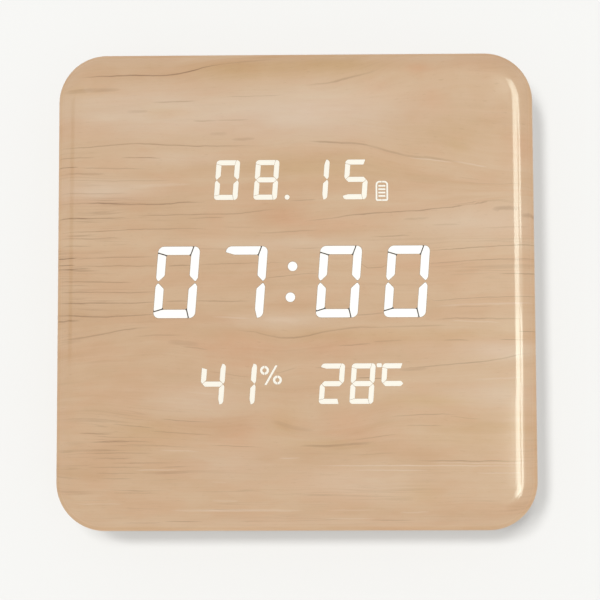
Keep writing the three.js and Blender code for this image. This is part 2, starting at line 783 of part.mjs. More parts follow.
// The rear cover: a plate in the case's rebate, with the hanger, the stand's pocket, posts for the
// control board, and openings for the keys, the switch, the port, the sensor and the buzzer
function coverSolid() {
  const inner = coverInnerY - seatGap;
  const through = [coverInnerY - overrun, coverOuterY + overrun];
  const standTop = pivotZ + legLength + scoopHeight;
  const standFoot = pivotZ - barrelRadius - fitGap;
  const standHeight = standTop - standFoot;
  const standZ = (standTop + standFoot) / 2;
  const standWidth = legHingeWidth + 4 * fitGap;
  const hangerTop = hangerZ + hangerSlotRise + hangerSlotWidth / 2;
  const hangerFoot = hangerZ - hangerHeadRadius;
  const hangerBoxZ = (hangerTop + hangerFoot) / 2;
  const hangerBoxHeight = hangerTop - hangerFoot + 2 * hangerMargin;
  const hangerBoxWidth = 2 * (hangerHeadRadius + hangerMargin);
  const hangerFloorY = coverOuterY - hangerDepth;
  const posts = [-1, 1].map((side) => {
    const at = [side * postX, controlZ + postRise];
    return slab(discShape(postRadius, ...at, 12), partY, coverInnerY + seatGap);
  });
  const body = joined([
    slab(caseShape(rimWall + fitGap), coverInnerY, coverOuterY),
    slab(
      boxShape(standWidth + 2 * pocketWall, standHeight + 2 * pocketWall, 0, standZ),
      standFloorY - pocketWall,
      coverOuterY - overrun / 2,
    ),
    slab(
      boxShape(standWidth + 2 * hingeBoss, hingeBossHeight, 0, pivotZ),
      standFloorY - pocketWall,
      coverOuterY - overrun / 2,
    ),
    slab(
      boxShape(hangerBoxWidth + 2 * pocketWall, hangerBoxHeight + 2 * pocketWall, 0, hangerBoxZ),
      hangerFloorY - pocketWall,
      coverOuterY - overrun / 2,
    ),
    ...posts,
  ]);
  const hangerSlot = [
    slab(discShape(hangerHeadRadius, 0, hangerZ, 20), ...through),
    slab(boxShape(hangerSlotWidth, hangerSlotRise, 0, hangerZ + hangerSlotRise / 2), ...through),
    slab(discShape(hangerSlotWidth / 2, 0, hangerZ + hangerSlotRise, 16), ...through),
    slab(boxShape(hangerBoxWidth, hangerBoxHeight, 0, hangerBoxZ), hangerFloorY, coverInnerY),
  ];
  const standCuts = [
    slab(boxShape(standWidth, standHeight, 0, standZ), standFloorY, coverOuterY + overrun),
    crossRod(hingePinRadius + seatGap, standWidth + 4 * hingeBoss, pivotY, pivotZ, 12),
  ];
  const keyHoles = [-1, 0, 1].map((place) =>
    slab(discShape(keyRadius + moveGap, place * keyPitch, controlZ, 24), ...through),
  );
  const knobHole = slab(
    roundedShape(knobWidth + slideTravel + 2 * moveGap, knobHeight + 2 * moveGap, moveGap, slideX, controlZ, 2),
    ...through,
  );
  const portHole = slab(
    roundedShape(portWidth + 2 * fitGap, portHeight + 2 * fitGap, portHeight / 2 + fitGap, portX, controlZ, 4),
    ...through,
  );
  const vents = Array.from({ length: ventCount }, (_, i) =>
    slab(
      roundedShape(
        ventWidth,
        ventHeight,
        ventWidth / 2,
        sensorX + (i - (ventCount - 1) / 2) * ventPitch,
        controlZ,
        2,
      ),
      ...through,
    ),
  );
  const soundHolesCut = Array.from({ length: soundHoles + 1 }, (_, i) => {
    const angle = (i / soundHoles) * 2 * Math.PI;
    const ring = i < soundHoles ? soundRingRadius : 0;
    const at = [buzzerX + ring * Math.cos(angle), controlZ + ring * Math.sin(angle)];
    return slab(discShape(soundHoleRadius, ...at, 8), ...through);
  });
  const screw = coverScrewPlace();
  const screwHoles = corners.flatMap(({ x, z }) => [
    slab(discShape(coverScrew.shank + fitGap, x * screw.x, z * screw.y, 12), ...through),
    slab(
      discShape(coverScrew.head + headGap, x * screw.x, z * screw.y, 20),
      coverOuterY - counterboreDepth,
      coverOuterY + overrun,
    ),
  ]);
  const postPilots = [-1, 1].map((side) =>
    slab(
      discShape(boardScrew.shank + seatGap, side * postX, controlZ + postRise, 10),
      partY - overrun,
      controlBoardY - seatGap + boardScrew.length + fitGap,
    ),
  );
  return without(body, [
    ...hangerSlot,
    ...standCuts,
    ...keyHoles,
    knobHole,
    portHole,
    ...vents,
    ...soundHolesCut,
    ...screwHoles,
    ...postPilots,
  ]);
}

// The control board, drilled for its two screws
function controlBoardSolid() {
  const holes = [-1, 1].map((side) =>
    slab(
      discShape(boardScrew.shank + seatGap, side * postX, controlZ + postRise, 10),
      controlBoardY - overrun,
      controlRearY + overrun,
    ),
  );
  return without(slab(boxShape(controlWidth, controlHeight, 0, controlZ), controlBoardY, controlRearY), holes);
}

// A push switch's housing on the board, with the bore that its plunger slides in
function switchSolid() {
  const bore = rod(plungerRadius + moveGap, switchDepth - plungerSeat - keyTravel - fitGap, switchDepth + overrun, 12);
  return slab(boxShape(switchSide, switchSide), 0, switchDepth).subtract(bore);
}

const plungerSolid = () => rod(plungerRadius, switchDepth - plungerSeat, switchDepth + plungerStand, 12);

// A key's cap, from its stem on the plunger to its dished top; a collar keeps it behind the cover
function keyCapSolid() {
  const foot = partY + switchDepth + plungerStand + seatGap;
  const collarTop = coverInnerY - moveGap;
  const top = coverOuterY + keyProud;
  return turned(
    [
      [0, foot],
      [plungerRadius, foot],
      [plungerRadius, collarTop - keyCollar],
      [keyRadius + keyCollar, collarTop - keyCollar],
      [keyRadius + keyCollar, collarTop],
      [keyRadius, collarTop],
      [keyRadius, top - keyEdge],
      [keyRadius - keyEdge, top],
      [keyRadius / 2, top - keyDish],
      [0, top - keyDish],
    ],
    24,
  );
}

// The slide switch's housing, with a slot for the knob's stem
function slideHousingSolid() {
  const slot = slab(
    boxShape(knobStem + slideTravel + 2 * moveGap, knobStem + 2 * moveGap),
    slideDepth - knobStemDepth - fitGap,
    slideDepth + overrun,
  );
  return slab(boxShape(slideWidth, slideHeight), 0, slideDepth).subtract(slot);
}

// The knob stands in the switch and reaches through the cover.
function knobSolid() {
  const shoulder = slideDepth + moveGap;
  const top = coverOuterY + knobProud - partY;
  return joined([
    slab(boxShape(knobStem, knobStem), slideDepth - knobStemDepth, shoulder + seatGap),
    slab(boxShape(knobWidth, knobHeight), shoulder, top),
  ]);
}

// The charging port: a pressed steel shell round a plastic insert with its tongue
const portDepth = () => coverOuterY - portRecess - partY;

function portShellSolid() {
  const mouth = slab(
    roundedShape(portWidth - 2 * portShell, portHeight - 2 * portShell, portHeight / 2 - portShell, 0, 0, 4),
    portShell,
    portDepth() + overrun,
  );
  return slab(roundedShape(portWidth, portHeight, portHeight / 2, 0, 0, 4), 0, portDepth()).subtract(mouth);
}

function portInsertSolid() {
  const inset = 2 * (portShell + seatGap);
  const floor = portShell + seatGap;
  return joined([
    slab(
      roundedShape(portWidth - inset, portHeight - inset, (portHeight - inset) / 2, 0, 0, 4),
      floor,
      floor + portInsertDepth,
    ),
    slab(boxShape(tongueWidth, tongueHeight), floor + portInsertDepth / 2, portDepth() - tongueRecess),
  ]);
}

function buzzerSolid() {
  return rod(buzzerRadius, 0, buzzerDepth, 20).subtract(
    rod(buzzerHoleRadius, buzzerDepth - buzzerHoleDepth, buzzerDepth + overrun, 10),
  );
}

// The lithium cell: a soft-edged pouch
function cellSolid() {
  const shape = (inset) => roundedShape(cellWidth - 2 * inset, cellHeight - 2 * inset, cellEdge * 2 - inset, 0, 0, 3);
  return lofted([
    { points: shape(cellEdge).getPoints(), level: cellDepth / 2 },
    { points: shape(0).getPoints(), level: cellDepth / 2 - cellEdge },
    { points: shape(0).getPoints(), level: cellEdge - cellDepth / 2 },
    { points: shape(cellEdge).getPoints(), level: -cellDepth / 2 },
  ]);
}

// A lead from the top of the cell to the socket on the control board
function leadSolid(x) {
  const from = cellZ + cellHeight / 2 + seatGap;
  const to = controlZ - controlHeight / 2 + socketEdge - seatGap;
  const leadLevel = cellY + leadLevelShare * cellDepth;
  const socketLevel = partY + socketDepth / 2;
  const shares = [[0, 0], ...leadBendShares, [1, 1]];
  const path = new THREE.CatmullRomCurve3(
    shares.map(([run, rise]) => {
      const level = leadLevel + (socketLevel - leadLevel) * run;
      return new THREE.Vector3(x, level, from + (to - from) * rise);
    }),
  );
  const section = new THREE.Shape(arc(0, 0, leadRadius, 0, 4, 8).slice(0, 8));
  return solidFrom(new THREE.ExtrudeGeometry(section, { extrudePath: path, steps: 6, bevelEnabled: false }));
}

// The stand's leg, folded: a barrel on the hinge pin, a tapered plate and a recess ribbed down the middle
function legSolid() {
  const outerY = pivotY + barrelRadius;
  const innerY = outerY - legThickness;
  const tip = pivotZ + legLength;
  const half = legHingeWidth / 2;
  const tipHalf = legTipWidth / 2;
  const outline = new THREE.Shape([
    new THREE.Vector2(-half, pivotZ),
    new THREE.Vector2(half, pivotZ),
    ...arc(tipHalf - legTipRadius, tip - legTipRadius, legTipRadius, 0, 1, 4),
    ...arc(legTipRadius - tipHalf, tip - legTipRadius, legTipRadius, 1, 2, 4),
  ]);
  const barrel = crossRod(barrelRadius, legHingeWidth, pivotY, pivotZ, 20);
  const bore = crossRod(hingePinRadius + moveGap, legHingeWidth + overrun, pivotY, pivotZ, 16);
  const recessFoot = pivotZ + barrelRadius + legRib;
  const recessTop = tip - padEdge - padHeight - legRib;
  const recessWidth = tipHalf - legEdge - legRib / 2;
  const recesses = [-1, 1].map((side) =>
    slab(
      boxShape(
        recessWidth,
        recessTop - recessFoot,
        (side * (recessWidth + legRib)) / 2,
        (recessTop + recessFoot) / 2,
      ),
      innerY - overrun,
      outerY - legSkin,
    ),
  );
  const padRecess = slab(
    boxShape(padWidth + 2 * seatGap, padHeight + 2 * seatGap, 0, tip - padEdge - padHeight / 2),
    outerY - padSeat,
    outerY + overrun,
  );
  return without(joined([slab(outline, innerY, outerY), barrel]), [bore, padRecess, ...recesses]);
}

function padSolid() {
  const seat = pivotY + barrelRadius - padSeat + seatGap;
  const z = pivotZ + legLength - padEdge - padHeight / 2;
  return slab(boxShape(padWidth, padHeight, 0, z), seat, seat + padThickness);
}

function hingePinSolid() {
  const length = legHingeWidth + 4 * fitGap + 2 * hingeBoss - 2 * fitGap;
  return crossRod(hingePinRadius, length, pivotY, pivotZ, 12);
}

// The assembly
const face = new THREE.Group(); // drawn about the middle of the face
face.position.z = caseHeight / 2;

function place(group, name, solid, finish, x = 0, y = 0, z = 0) {
  const mesh = new THREE.Mesh(geometryFrom(solid), new THREE.MeshStandardMaterial(finishes[finish]));
  mesh.name = name;
  mesh.position.set(x, y, z);
  group.add(mesh);
  return mesh;
}

place(face, "wood_case", caseSolid(), "wood");
for (const { name, x, z } of corners) {
  const block = place(face, `corner_block_${name}`, cornerBlockSolid(), "rawWood");
  block.scale.set(x, 1, z);
}

for (const [name, guide] of Object.entries(lightGuides)) {
  place(face, `${name}_light_guide`, lightGuideSolid(guide), "litGuide");
}
place(face, "display_reflector", reflectorSolid(), "blackPlastic");
place(face, "display_board", displayBoardSolid(), "circuitBoard");
displayScrewPlaces().forEach(([x, z], i) => {
  place(face, `display_screw_${corners[i].name}`, screwSolid(displayScrew), "steel", x, displayRearY + seatGap, z);
});
place(
  face,
  "controller_chip",
  slab(boxShape(chipSide, chipSide), 0, chipDepth),
  "blackPlastic",
  chipX,
  displayPartY,
  chipZ,
);
place(
  face,
  "quartz_crystal",
  crossRod(crystalRadius, crystalLength, 0, 0, 10),
  "steel",
  chipX,
  displayPartY + crystalRadius,
  chipZ - chipSide / 2 - crystalGap,
);
place(
  face,
  "cell_tape",
  slab(boxShape(cellWidth - 2 * tapeMargin, cellHeight - 2 * tapeMargin), 0, tapeThickness),
  "foamTape",
  0,
  displayPartY,
  cellZ,
);
place(face, "lithium_cell", cellSolid(), "cellFoil", 0, cellY, cellZ);

// The control board and what is soldered to it
const control = new THREE.Group();
control.position.set(0, partY, controlZ);
face.add(control);
place(face, "control_board", controlBoardSolid(), "circuitBoard");
place(
  face,
  "board_header",
  slab(boxShape(headerWidth, headerHeight), displayPartY, controlBoardY - seatGap),
  "blackPlastic",
  0,
  0,
  headerZ,
);
const keys = ["up", "set", "down"];
keys.forEach((name, i) => {
  const x = (i - 1) * keyPitch;
  place(control, `${name}_switch_housing`, switchSolid(), "blackPlastic", x);
  place(control, `${name}_switch_plunger`, plungerSolid(), "socketPlastic", x);
  place(face, `${name}_key_cap`, keyCapSolid(), "keyPlastic", x, 0, controlZ);
});
place(control, "power_switch_housing", slideHousingSolid(), "steel", slideX);
place(control, "power_switch_knob", knobSolid(), "blackPlastic", slideX - slideTravel / 2);
place(control, "charging_port_shell", portShellSolid(), "steel", portX);
place(control, "charging_port_insert", portInsertSolid(), "blackPlastic", portX);
place(control, "alarm_buzzer", buzzerSolid(), "blackPlastic", buzzerX);
place(control, "humidity_sensor", slab(boxShape(sensorSide, sensorSide), 0, sensorDepth), "socketPlastic", sensorX);
place(
  control,
  "cell_socket",
  slab(boxShape(socketWidth, socketHeight), 0, socketDepth),
  "socketPlastic",
  socketX,
  0,
  socketEdge + socketHeight / 2 - controlHeight / 2,
);
place(face, "cell_lead_red", leadSolid(socketX + leadSpacing / 2), "redSleeve");
place(face, "cell_lead_black", leadSolid(socketX - leadSpacing / 2), "blackSleeve");

// The rear cover, its screws and the stand
place(face, "rear_cover", coverSolid(), "coverPlastic");
for (const { name, x, z } of corners) {
  const at = coverScrewPlace();
  const seat = coverOuterY - counterboreDepth + seatGap;
  place(face, `cover_screw_${name}`, screwSolid(coverScrew), "steel", x * at.x, seat, z * at.y);
}
for (const [name, side] of [["left", -1], ["right", 1]]) {
  const screw = place(
    face,
    `board_screw_${name}`,
    screwSolid(boardScrew),
    "steel",
    side * postX,
    controlBoardY - seatGap,
    controlZ + postRise,
  );
  screw.rotation.x = Math.PI;
}
place(face, "stand_leg", legSolid(), "coverPlastic");
place(face, "stand_hinge_pin", hingePinSolid(), "steel");
place(face, "stand_foot_pad", padSolid(), "silicone");

const clock = new THREE.Group();
clock.add(face);
export default clock;
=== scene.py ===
import json
import math

import bmesh
import bpy
import numpy as np
from mathutils import Matrix, Vector
from mathutils.geometry import delaunay_2d_cdt

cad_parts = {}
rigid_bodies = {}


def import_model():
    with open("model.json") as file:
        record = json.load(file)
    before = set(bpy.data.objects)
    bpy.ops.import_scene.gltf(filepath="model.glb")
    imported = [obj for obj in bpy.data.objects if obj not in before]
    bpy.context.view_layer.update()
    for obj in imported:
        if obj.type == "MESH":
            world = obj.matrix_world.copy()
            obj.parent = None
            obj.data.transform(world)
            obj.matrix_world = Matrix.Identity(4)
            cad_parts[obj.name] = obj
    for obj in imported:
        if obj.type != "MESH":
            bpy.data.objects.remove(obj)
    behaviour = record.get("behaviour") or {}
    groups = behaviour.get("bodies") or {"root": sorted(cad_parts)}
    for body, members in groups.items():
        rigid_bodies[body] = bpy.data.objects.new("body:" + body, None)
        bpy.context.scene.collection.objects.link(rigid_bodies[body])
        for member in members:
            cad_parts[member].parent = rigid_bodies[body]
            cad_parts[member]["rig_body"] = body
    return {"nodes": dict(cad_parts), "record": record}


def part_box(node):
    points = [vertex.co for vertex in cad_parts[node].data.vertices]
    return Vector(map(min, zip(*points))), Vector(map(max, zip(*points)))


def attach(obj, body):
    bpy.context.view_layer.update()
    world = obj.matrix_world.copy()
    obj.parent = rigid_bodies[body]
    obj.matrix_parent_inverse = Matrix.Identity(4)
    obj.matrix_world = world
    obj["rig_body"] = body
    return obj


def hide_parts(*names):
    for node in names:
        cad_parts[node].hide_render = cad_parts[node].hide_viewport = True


# A square wooden digital clock. The frame is in metres: +X right of the face, -Y out of it, +Z up.
# Shapes are worked out in millimetres and scaled when a mesh is made.

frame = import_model()
nodes = frame["nodes"]
slotOf = {part["node"]: part["material_slot"] for part in frame["record"]["subparts"]}
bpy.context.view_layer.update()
mm = 0.001
print("frame loaded:", len(nodes), "nodes")


# Shared helpers

# sRGB hex to linear: the piecewise curve of the sRGB standard
def toLinear(hexColour):
    value = np.array([int(hexColour[i:i + 2], 16) for i in (1, 3, 5)]) / 255
    linear = np.where(value <= 0.04045, value / 12.92, ((value + 0.055) / 1.055) ** 2.4)
    return (*linear.tolist(), 1.0)


# Adds a node with its settings, gives its inputs a value or a link each, and hands back one output
def addNode(tree, kind, inputs=(), output=0, **settings):
    node = tree.nodes.new("ShaderNode" + kind)
    for name, value in settings.items():
        setattr(node, name, value)
    for name, value in inputs.items() if isinstance(inputs, dict) else enumerate(inputs):
        if isinstance(value, bpy.types.NodeSocket):
            tree.links.new(value, node.inputs[name])
        else:
            node.inputs[name].default_value = value
    return node.outputs[output] if len(node.outputs) else node


# A colour Mix node's sockets: its share, the colour under, the colour over, and the mixed colour
mixShare, mixUnder, mixOver, mixColour = 0, 6, 7, 2


# A material with one shader, whose even values stand on the shader's own sockets
def newMaterial(name, values):
    material = bpy.data.materials.new(name)
    material.use_nodes = True
    tree = material.node_tree
    tree.nodes.clear()
    surface = addNode(tree, "BsdfPrincipled", values)
    addNode(tree, "OutputMaterial", {"Surface": surface})
    return material, tree, surface.node


# Gives a mesh its materials in order. Clearing the list would lose each face's place in it.
def finish(obj, *materials):
    slots = obj.data.materials
    for number, material in enumerate(materials):
        if number < len(slots):
            slots[number] = material
        else:
            slots.append(material)


# A mesh from points in mm and lists of corner numbers, smooth but for edges over the sharp angle
def newPiece(name, points, faces, body, replaced=(), sharp=30):
    mesh = bpy.data.meshes.new(name)
    mesh.from_pydata((np.asarray(points, float) * mm).tolist(), [], faces)
    mesh.polygons.foreach_set("use_smooth", np.ones(len(mesh.polygons), dtype=bool))
    mesh.set_sharp_from_angle(angle=math.radians(sharp))
    mesh.update()
    obj = bpy.data.objects.new(name, mesh)
    bpy.context.scene.collection.objects.link(obj)
    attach(obj, body)
    if replaced:
        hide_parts(*replaced)
    return obj


# Camera, at the photograph's viewing angle: places in mm, angles in degrees, pixels of a 600 pixel frame
camera = {
    "target": (0, -0.5, 85), "distance": 560, "azimuth": 0.9161, "elevation": -4.2739, "roll": -0.1875,
    "frame": 600, "focalPixels": 1551.43, "shiftPixels": (3.831, -8.399), "sensor": 36, "clipStart": 10,
}


def addCamera():
    azimuth, elevation, roll = np.radians([camera[name] for name in ("azimuth", "elevation", "roll")])
    back = Vector((math.sin(azimuth) * math.cos(elevation), -math.cos(azimuth) * math.cos(elevation),
                   math.sin(elevation)))
    right = Vector((math.cos(azimuth), math.sin(azimuth), 0))
    up = back.cross(right)
    turn = Matrix((right * math.cos(roll) + up * math.sin(roll), up * math.cos(roll) - right * math.sin(roll),
                   back))
    data = bpy.data.cameras.new("photo_camera")
    data.sensor_width = camera["sensor"]
    data.lens = camera["focalPixels"] / camera["frame"] * camera["sensor"]
    data.shift_x, data.shift_y = [pixels / camera["frame"] for pixels in camera["shiftPixels"]]
    data.clip_start = camera["clipStart"] * mm
    obj = bpy.data.objects.new("photo_camera", data)
    bpy.context.scene.collection.objects.link(obj)
    place = Vector(camera["target"]) * mm + back * camera["distance"] * mm
    obj.matrix_world = Matrix.Translation(place) @ turn.transposed().to_4x4()
    bpy.context.scene.camera = obj


addCamera()
print("camera placed")


# Flat outlines, counter-clockwise seen from the front, in x and z

# Four quarter arcs, each turned a quarter further, with the straight sides between them cut in even steps
def roundedSquare(width, height, radius, centre=(0, 0), steps=8, sideSteps=1):
    turn = np.linspace(0, math.pi / 2, steps + 1)
    arc = np.stack([np.cos(turn), np.sin(turn)], 1) * radius
    reach = np.array([width / 2 - radius, height / 2 - radius])
    quarters = [arc @ np.array([[c, s], [-s, c]]) + reach * side
                for c, s, side in ((1, 0, (1, 1)), (0, 1, (-1, 1)), (-1, 0, (-1, -1)), (0, -1, (1, -1)))]
    share = np.linspace(0, 1, sideSteps + 1)[1:-1, None]
    sides = [before[-1] * (1 - share) + after[0] * share
             for before, after in zip(quarters, quarters[1:] + quarters)]
    loop = [part for pair in zip(quarters, sides) for part in pair]
    return np.concatenate(loop) + np.asarray(centre)


def disc(radius, centre, sides=40):
    turn = np.arange(sides) / sides * 2 * math.pi
    return np.stack([np.cos(turn), np.sin(turn)], 1) * radius + np.asarray(centre)


# Each corner becomes a parabola between two points on its sides, a radius away from it but at most a share
# of the side
def softened(points, radius, steps=3, most=0.45):
    points = np.asarray(points, float)
    before, after = np.roll(points, 1, 0) - points, np.roll(points, -1, 0) - points
    reach = lambda side: side * np.minimum(radius / np.linalg.norm(side, axis=1, keepdims=True), most)
    t = np.linspace(0, 1, steps + 1)[None, :, None]
    start, middle, end = (points + reach(before))[:, None], points[:, None], (points + reach(after))[:, None]
    return ((1 - t) ** 2 * start + 2 * t * (1 - t) * middle + t ** 2 * end).reshape(-1, 2)


# A convex outline with every side moved inwards: it is cut by the line through each moved side. Corners
# inside the line stay, and a side that crosses it gives the point where the depth between its ends is zero.
# Corners that come too close together are dropped.
def drawnIn(points, by, apart=0.02):
    points = np.asarray(points, float)
    kept = points
    for start, end in zip(points, np.roll(points, -1, 0)):
        along = (end - start) / np.linalg.norm(end - start)
        depth = (kept - start) @ np.array([-along[1], along[0]]) - by
        after, depthAfter = np.roll(kept, -1, 0), np.roll(depth, -1)
        crosses = depth * depthAfter < 0
        fall = np.where(crosses, depth - depthAfter, 1)
        cut = kept + (after - kept) * depth[:, None] / fall[:, None]
        kept = np.stack([kept, cut], 1).reshape(-1, 2)[np.stack([depth >= 0, crosses], 1).ravel()]
    return kept[np.linalg.norm(kept - np.roll(kept, 1, 0), axis=1) > apart]


# The readings: sizes in mm about the middle of the display, which stands a little left of and above the
# face's. The colon has a radius and a rise, the point a radius, x and z, and the degree sign x, z, width,
# height and corner. Wood between bars is thinner, shorter and further from a digit's waist than its test says.
display = {
    "middle": (-1.4, 87.7), "slant": 4.3, "bridge": 0.08, "recess": 0.05, "seamTest": (0.5, 4.5, 4),
    "big": {"width": 14.85, "height": 25.4, "stroke": 3.1, "seam": 0.28, "soft": 0.42, "fit": 0.07},
    "small": {"width": 8.4, "height": 14.2, "stroke": 1.85, "seam": 0.06, "soft": 0.14, "fit": 0.02},
    "bars": {"0": "ABCDEF", "1": "BC", "2": "ABDEG", "4": "BCFG", "5": "ACDFG", "7": "ABC", "8": "ABCDEFG",
             "C": "AFG"},
    "rows": {
        "time": ("big", -0.3, [("0", -40.45), ("7", -16.55), ("0", 16.7), ("0", 40.55)]),
        "date": ("small", 35.9, [("0", -22.7), ("8", -8.75), ("1", 9.0), ("5", 22.9)]),
        "humidity": ("small", -36.15, [("4", -27.75), ("1", -16.8)]),
        "temperature": ("small", -36.15, [("2", 14.05), ("8", 24.75), ("C", 35.45)]),
    },
    "colon": (1.75, 5.45), "point": (0.9, -1, -6.2),
    "battery": {"place": (32.0, 31.75), "width": 4.45, "height": 7.2, "line": 0.65, "top": 1.4, "foot": 0.7,
                "leastFoot": 0.1, "bar": (2.55, 0.65), "barCorner": 0.12, "pitch": 1.2, "count": 4},
    "percent": {"place": (-7.3, -33.1), "ring": 1.6, "line": 0.88, "spread": (2.25, 1.7),
                "slash": (1.95, 3.45), "width": 0.88, "soft": 0.2},
    "degree": (30.65, -29.75, 1.85, 1.45, 0.4),
}


# The seven bars of an upright digit about its middle: corners are shares of the stroke
def barOutlines(digit):
    w, h, s, half = digit["width"] / 2, digit["height"] / 2, digit["stroke"], digit["seam"] / 2
    iw, ih, corner, reach = w - s, h - s, 0.66 * s, 0.74 * s
    tip, outer, inner, arcPoints = w - 0.28 * s, 0.46 * s, 0.74 * s, 7
    turn = lambda x, z, start: [(x + corner * math.cos(a), z + corner * math.sin(a))
                                for a in np.radians(np.linspace(start, start + 90, arcPoints))]
    top = [(-w, h - reach + half), (-iw, ih), (iw - 2 * half, ih), (w - reach - half, h),
           *turn(corner - w, h - corner, 90)]
    right = [(iw, ih), (iw, inner), (tip, half), (w, outer), *turn(w - corner, h - corner, 0),
             (w - reach + half, h)]
    left = [(-w, h - reach - half), (-w, outer), (-tip, half), (-iw, inner), (-iw, ih - 2 * half)]
    end = tip - 2 * half * math.sqrt(2)
    middle = [(-end, 0), (s / 2 - end, -s / 2), (end - s / 2, -s / 2), (end, 0), (end - s / 2, s / 2),
              (s / 2 - end, s / 2)]
    flipped = lambda points: [(x, -z) for x, z in reversed(points)]
    return {"A": top, "B": right, "C": flipped(right), "D": flipped(top), "E": flipped(left), "F": left,
            "G": middle}


# Upright points lean over with their height and move to their row and place
def onFace(points, x, row):
    points = np.asarray(points, float)
    lean = math.tan(math.radians(display["slant"])) * points[:, 1]
    return np.stack([points[:, 0] + lean + x, points[:, 1] + row], 1) + display["middle"]


# A ring cut in two by a bridge of wood above and one below. Points too near to a cut are dropped.
def ringHalves(outer, inner, centreX, by, clear=0.03):
    halves = []
    for side in (-1, 1):
        edge = centreX + side * (display["bridge"] / 2 + by)
        loop = []
        for ring, way in ((outer, 1), (inner, -1)):
            kept = ring[(ring[:, 0] - edge) * side > clear]
            kept = kept[np.argsort(kept[:, 1] * side)][::way]
            loop += [(edge, kept[0, 1]), *kept.tolist(), (edge, kept[-1, 1])]
        halves.append(np.array(loop))
    return halves


def batteryOutlines(by):
    battery = display["battery"]
    x, z = np.add(display["middle"], battery["place"])

    def shell(inset):
        size = (battery["width"] - 2 * inset, battery["height"] - 2 * inset)
        upper = roundedSquare(*size, battery["top"] - inset, (x, z), steps=12)
        lower = roundedSquare(*size, max(battery["foot"] - inset, battery["leastFoot"]), (x, z), steps=12)
        return np.concatenate([upper[upper[:, 1] > z], lower[lower[:, 1] < z]])

    width, height = np.array(battery["bar"]) - 2 * by
    rises = (np.arange(battery["count"]) - (battery["count"] - 1) / 2) * battery["pitch"]
    bars = [roundedSquare(width, height, battery["barCorner"], (x, z + rise), steps=3) for rise in rises]
    return ringHalves(shell(by), shell(battery["line"] - by), x, by) + bars


def percentOutlines(by):
    percent = display["percent"]
    x, z = np.add(display["middle"], percent["place"])
    shapes = []
    for side in (-1, 1):
        centre = (x + side * percent["spread"][0], z - side * percent["spread"][1])
        outer, inner = percent["ring"] - by, percent["ring"] - percent["line"] + by
        shapes += ringHalves(disc(outer, centre), disc(inner, centre), centre[0], by)
    lean, half, rise = percent["slash"][0], percent["width"] / 2, percent["slash"][1]
    slash = [(x - lean - half, z - rise), (x - lean + half, z - rise), (x + lean + half, z + rise),
             (x + lean - half, z + rise)]
    return shapes + [softened(drawnIn(slash, by) if by else slash, percent["soft"])]


# Every lit outline of a row, each drawn in by the same fit: bars of digits, then dots and signs
def litOutlines(row, by):
    size, height, figures = display["rows"][row]
    digit = display[size]
    bars = barOutlines(digit)
    shapes = []
    for figure, x in figures:
        for bar in display["bars"][figure]:
            outline = drawnIn(bars[bar], by) if by else bars[bar]
            shapes.append(onFace(softened(outline, digit["soft"]), x, height))
    if row == "time":
        radius, rise = display["colon"]
        shapes += [disc(radius - by, onFace([(0, z)], 0, height)[0]) for z in (rise, -rise)]
    if row == "date":
        radius, x, z = display["point"]
        shapes += [disc(radius - by, onFace([(0, z)], x, height)[0], sides=28), *batteryOutlines(by)]
    if row == "humidity":
        shapes += percentOutlines(by)
    if row == "temperature":
        x, z, width, depth, radius = display["degree"]
        shapes.append(roundedSquare(width - 2 * by, depth - 2 * by, radius, np.add(display["middle"], (x, z)),
                                    steps=5))
    return shapes


# Triangles of a sheet inside an outline, outside its windows, with extra points inside for an even net.
# A window's points are given the other way round, which marks it as a hole. Output kind 2 leaves holes out.
def piercedSheet(outer, windows, extra=np.empty((0, 2)), outputKind=2, closest=1e-7):
    points = np.concatenate([outer, *windows, extra])
    rims = [list(range(len(outer)))]
    start = len(outer)
    for window in windows:
        rims.append(list(range(start + len(window) - 1, start - 1, -1)))
        start += len(window)
    made = delaunay_2d_cdt([Vector(point) for point in points], [], rims, outputKind, closest)
    source = [origin[0] if origin else -1 for origin in made[3]]
    if -1 in source:
        raise ValueError("two outlines of the sheet cross")
    return [[source[i] for i in face] for face in made[2]]


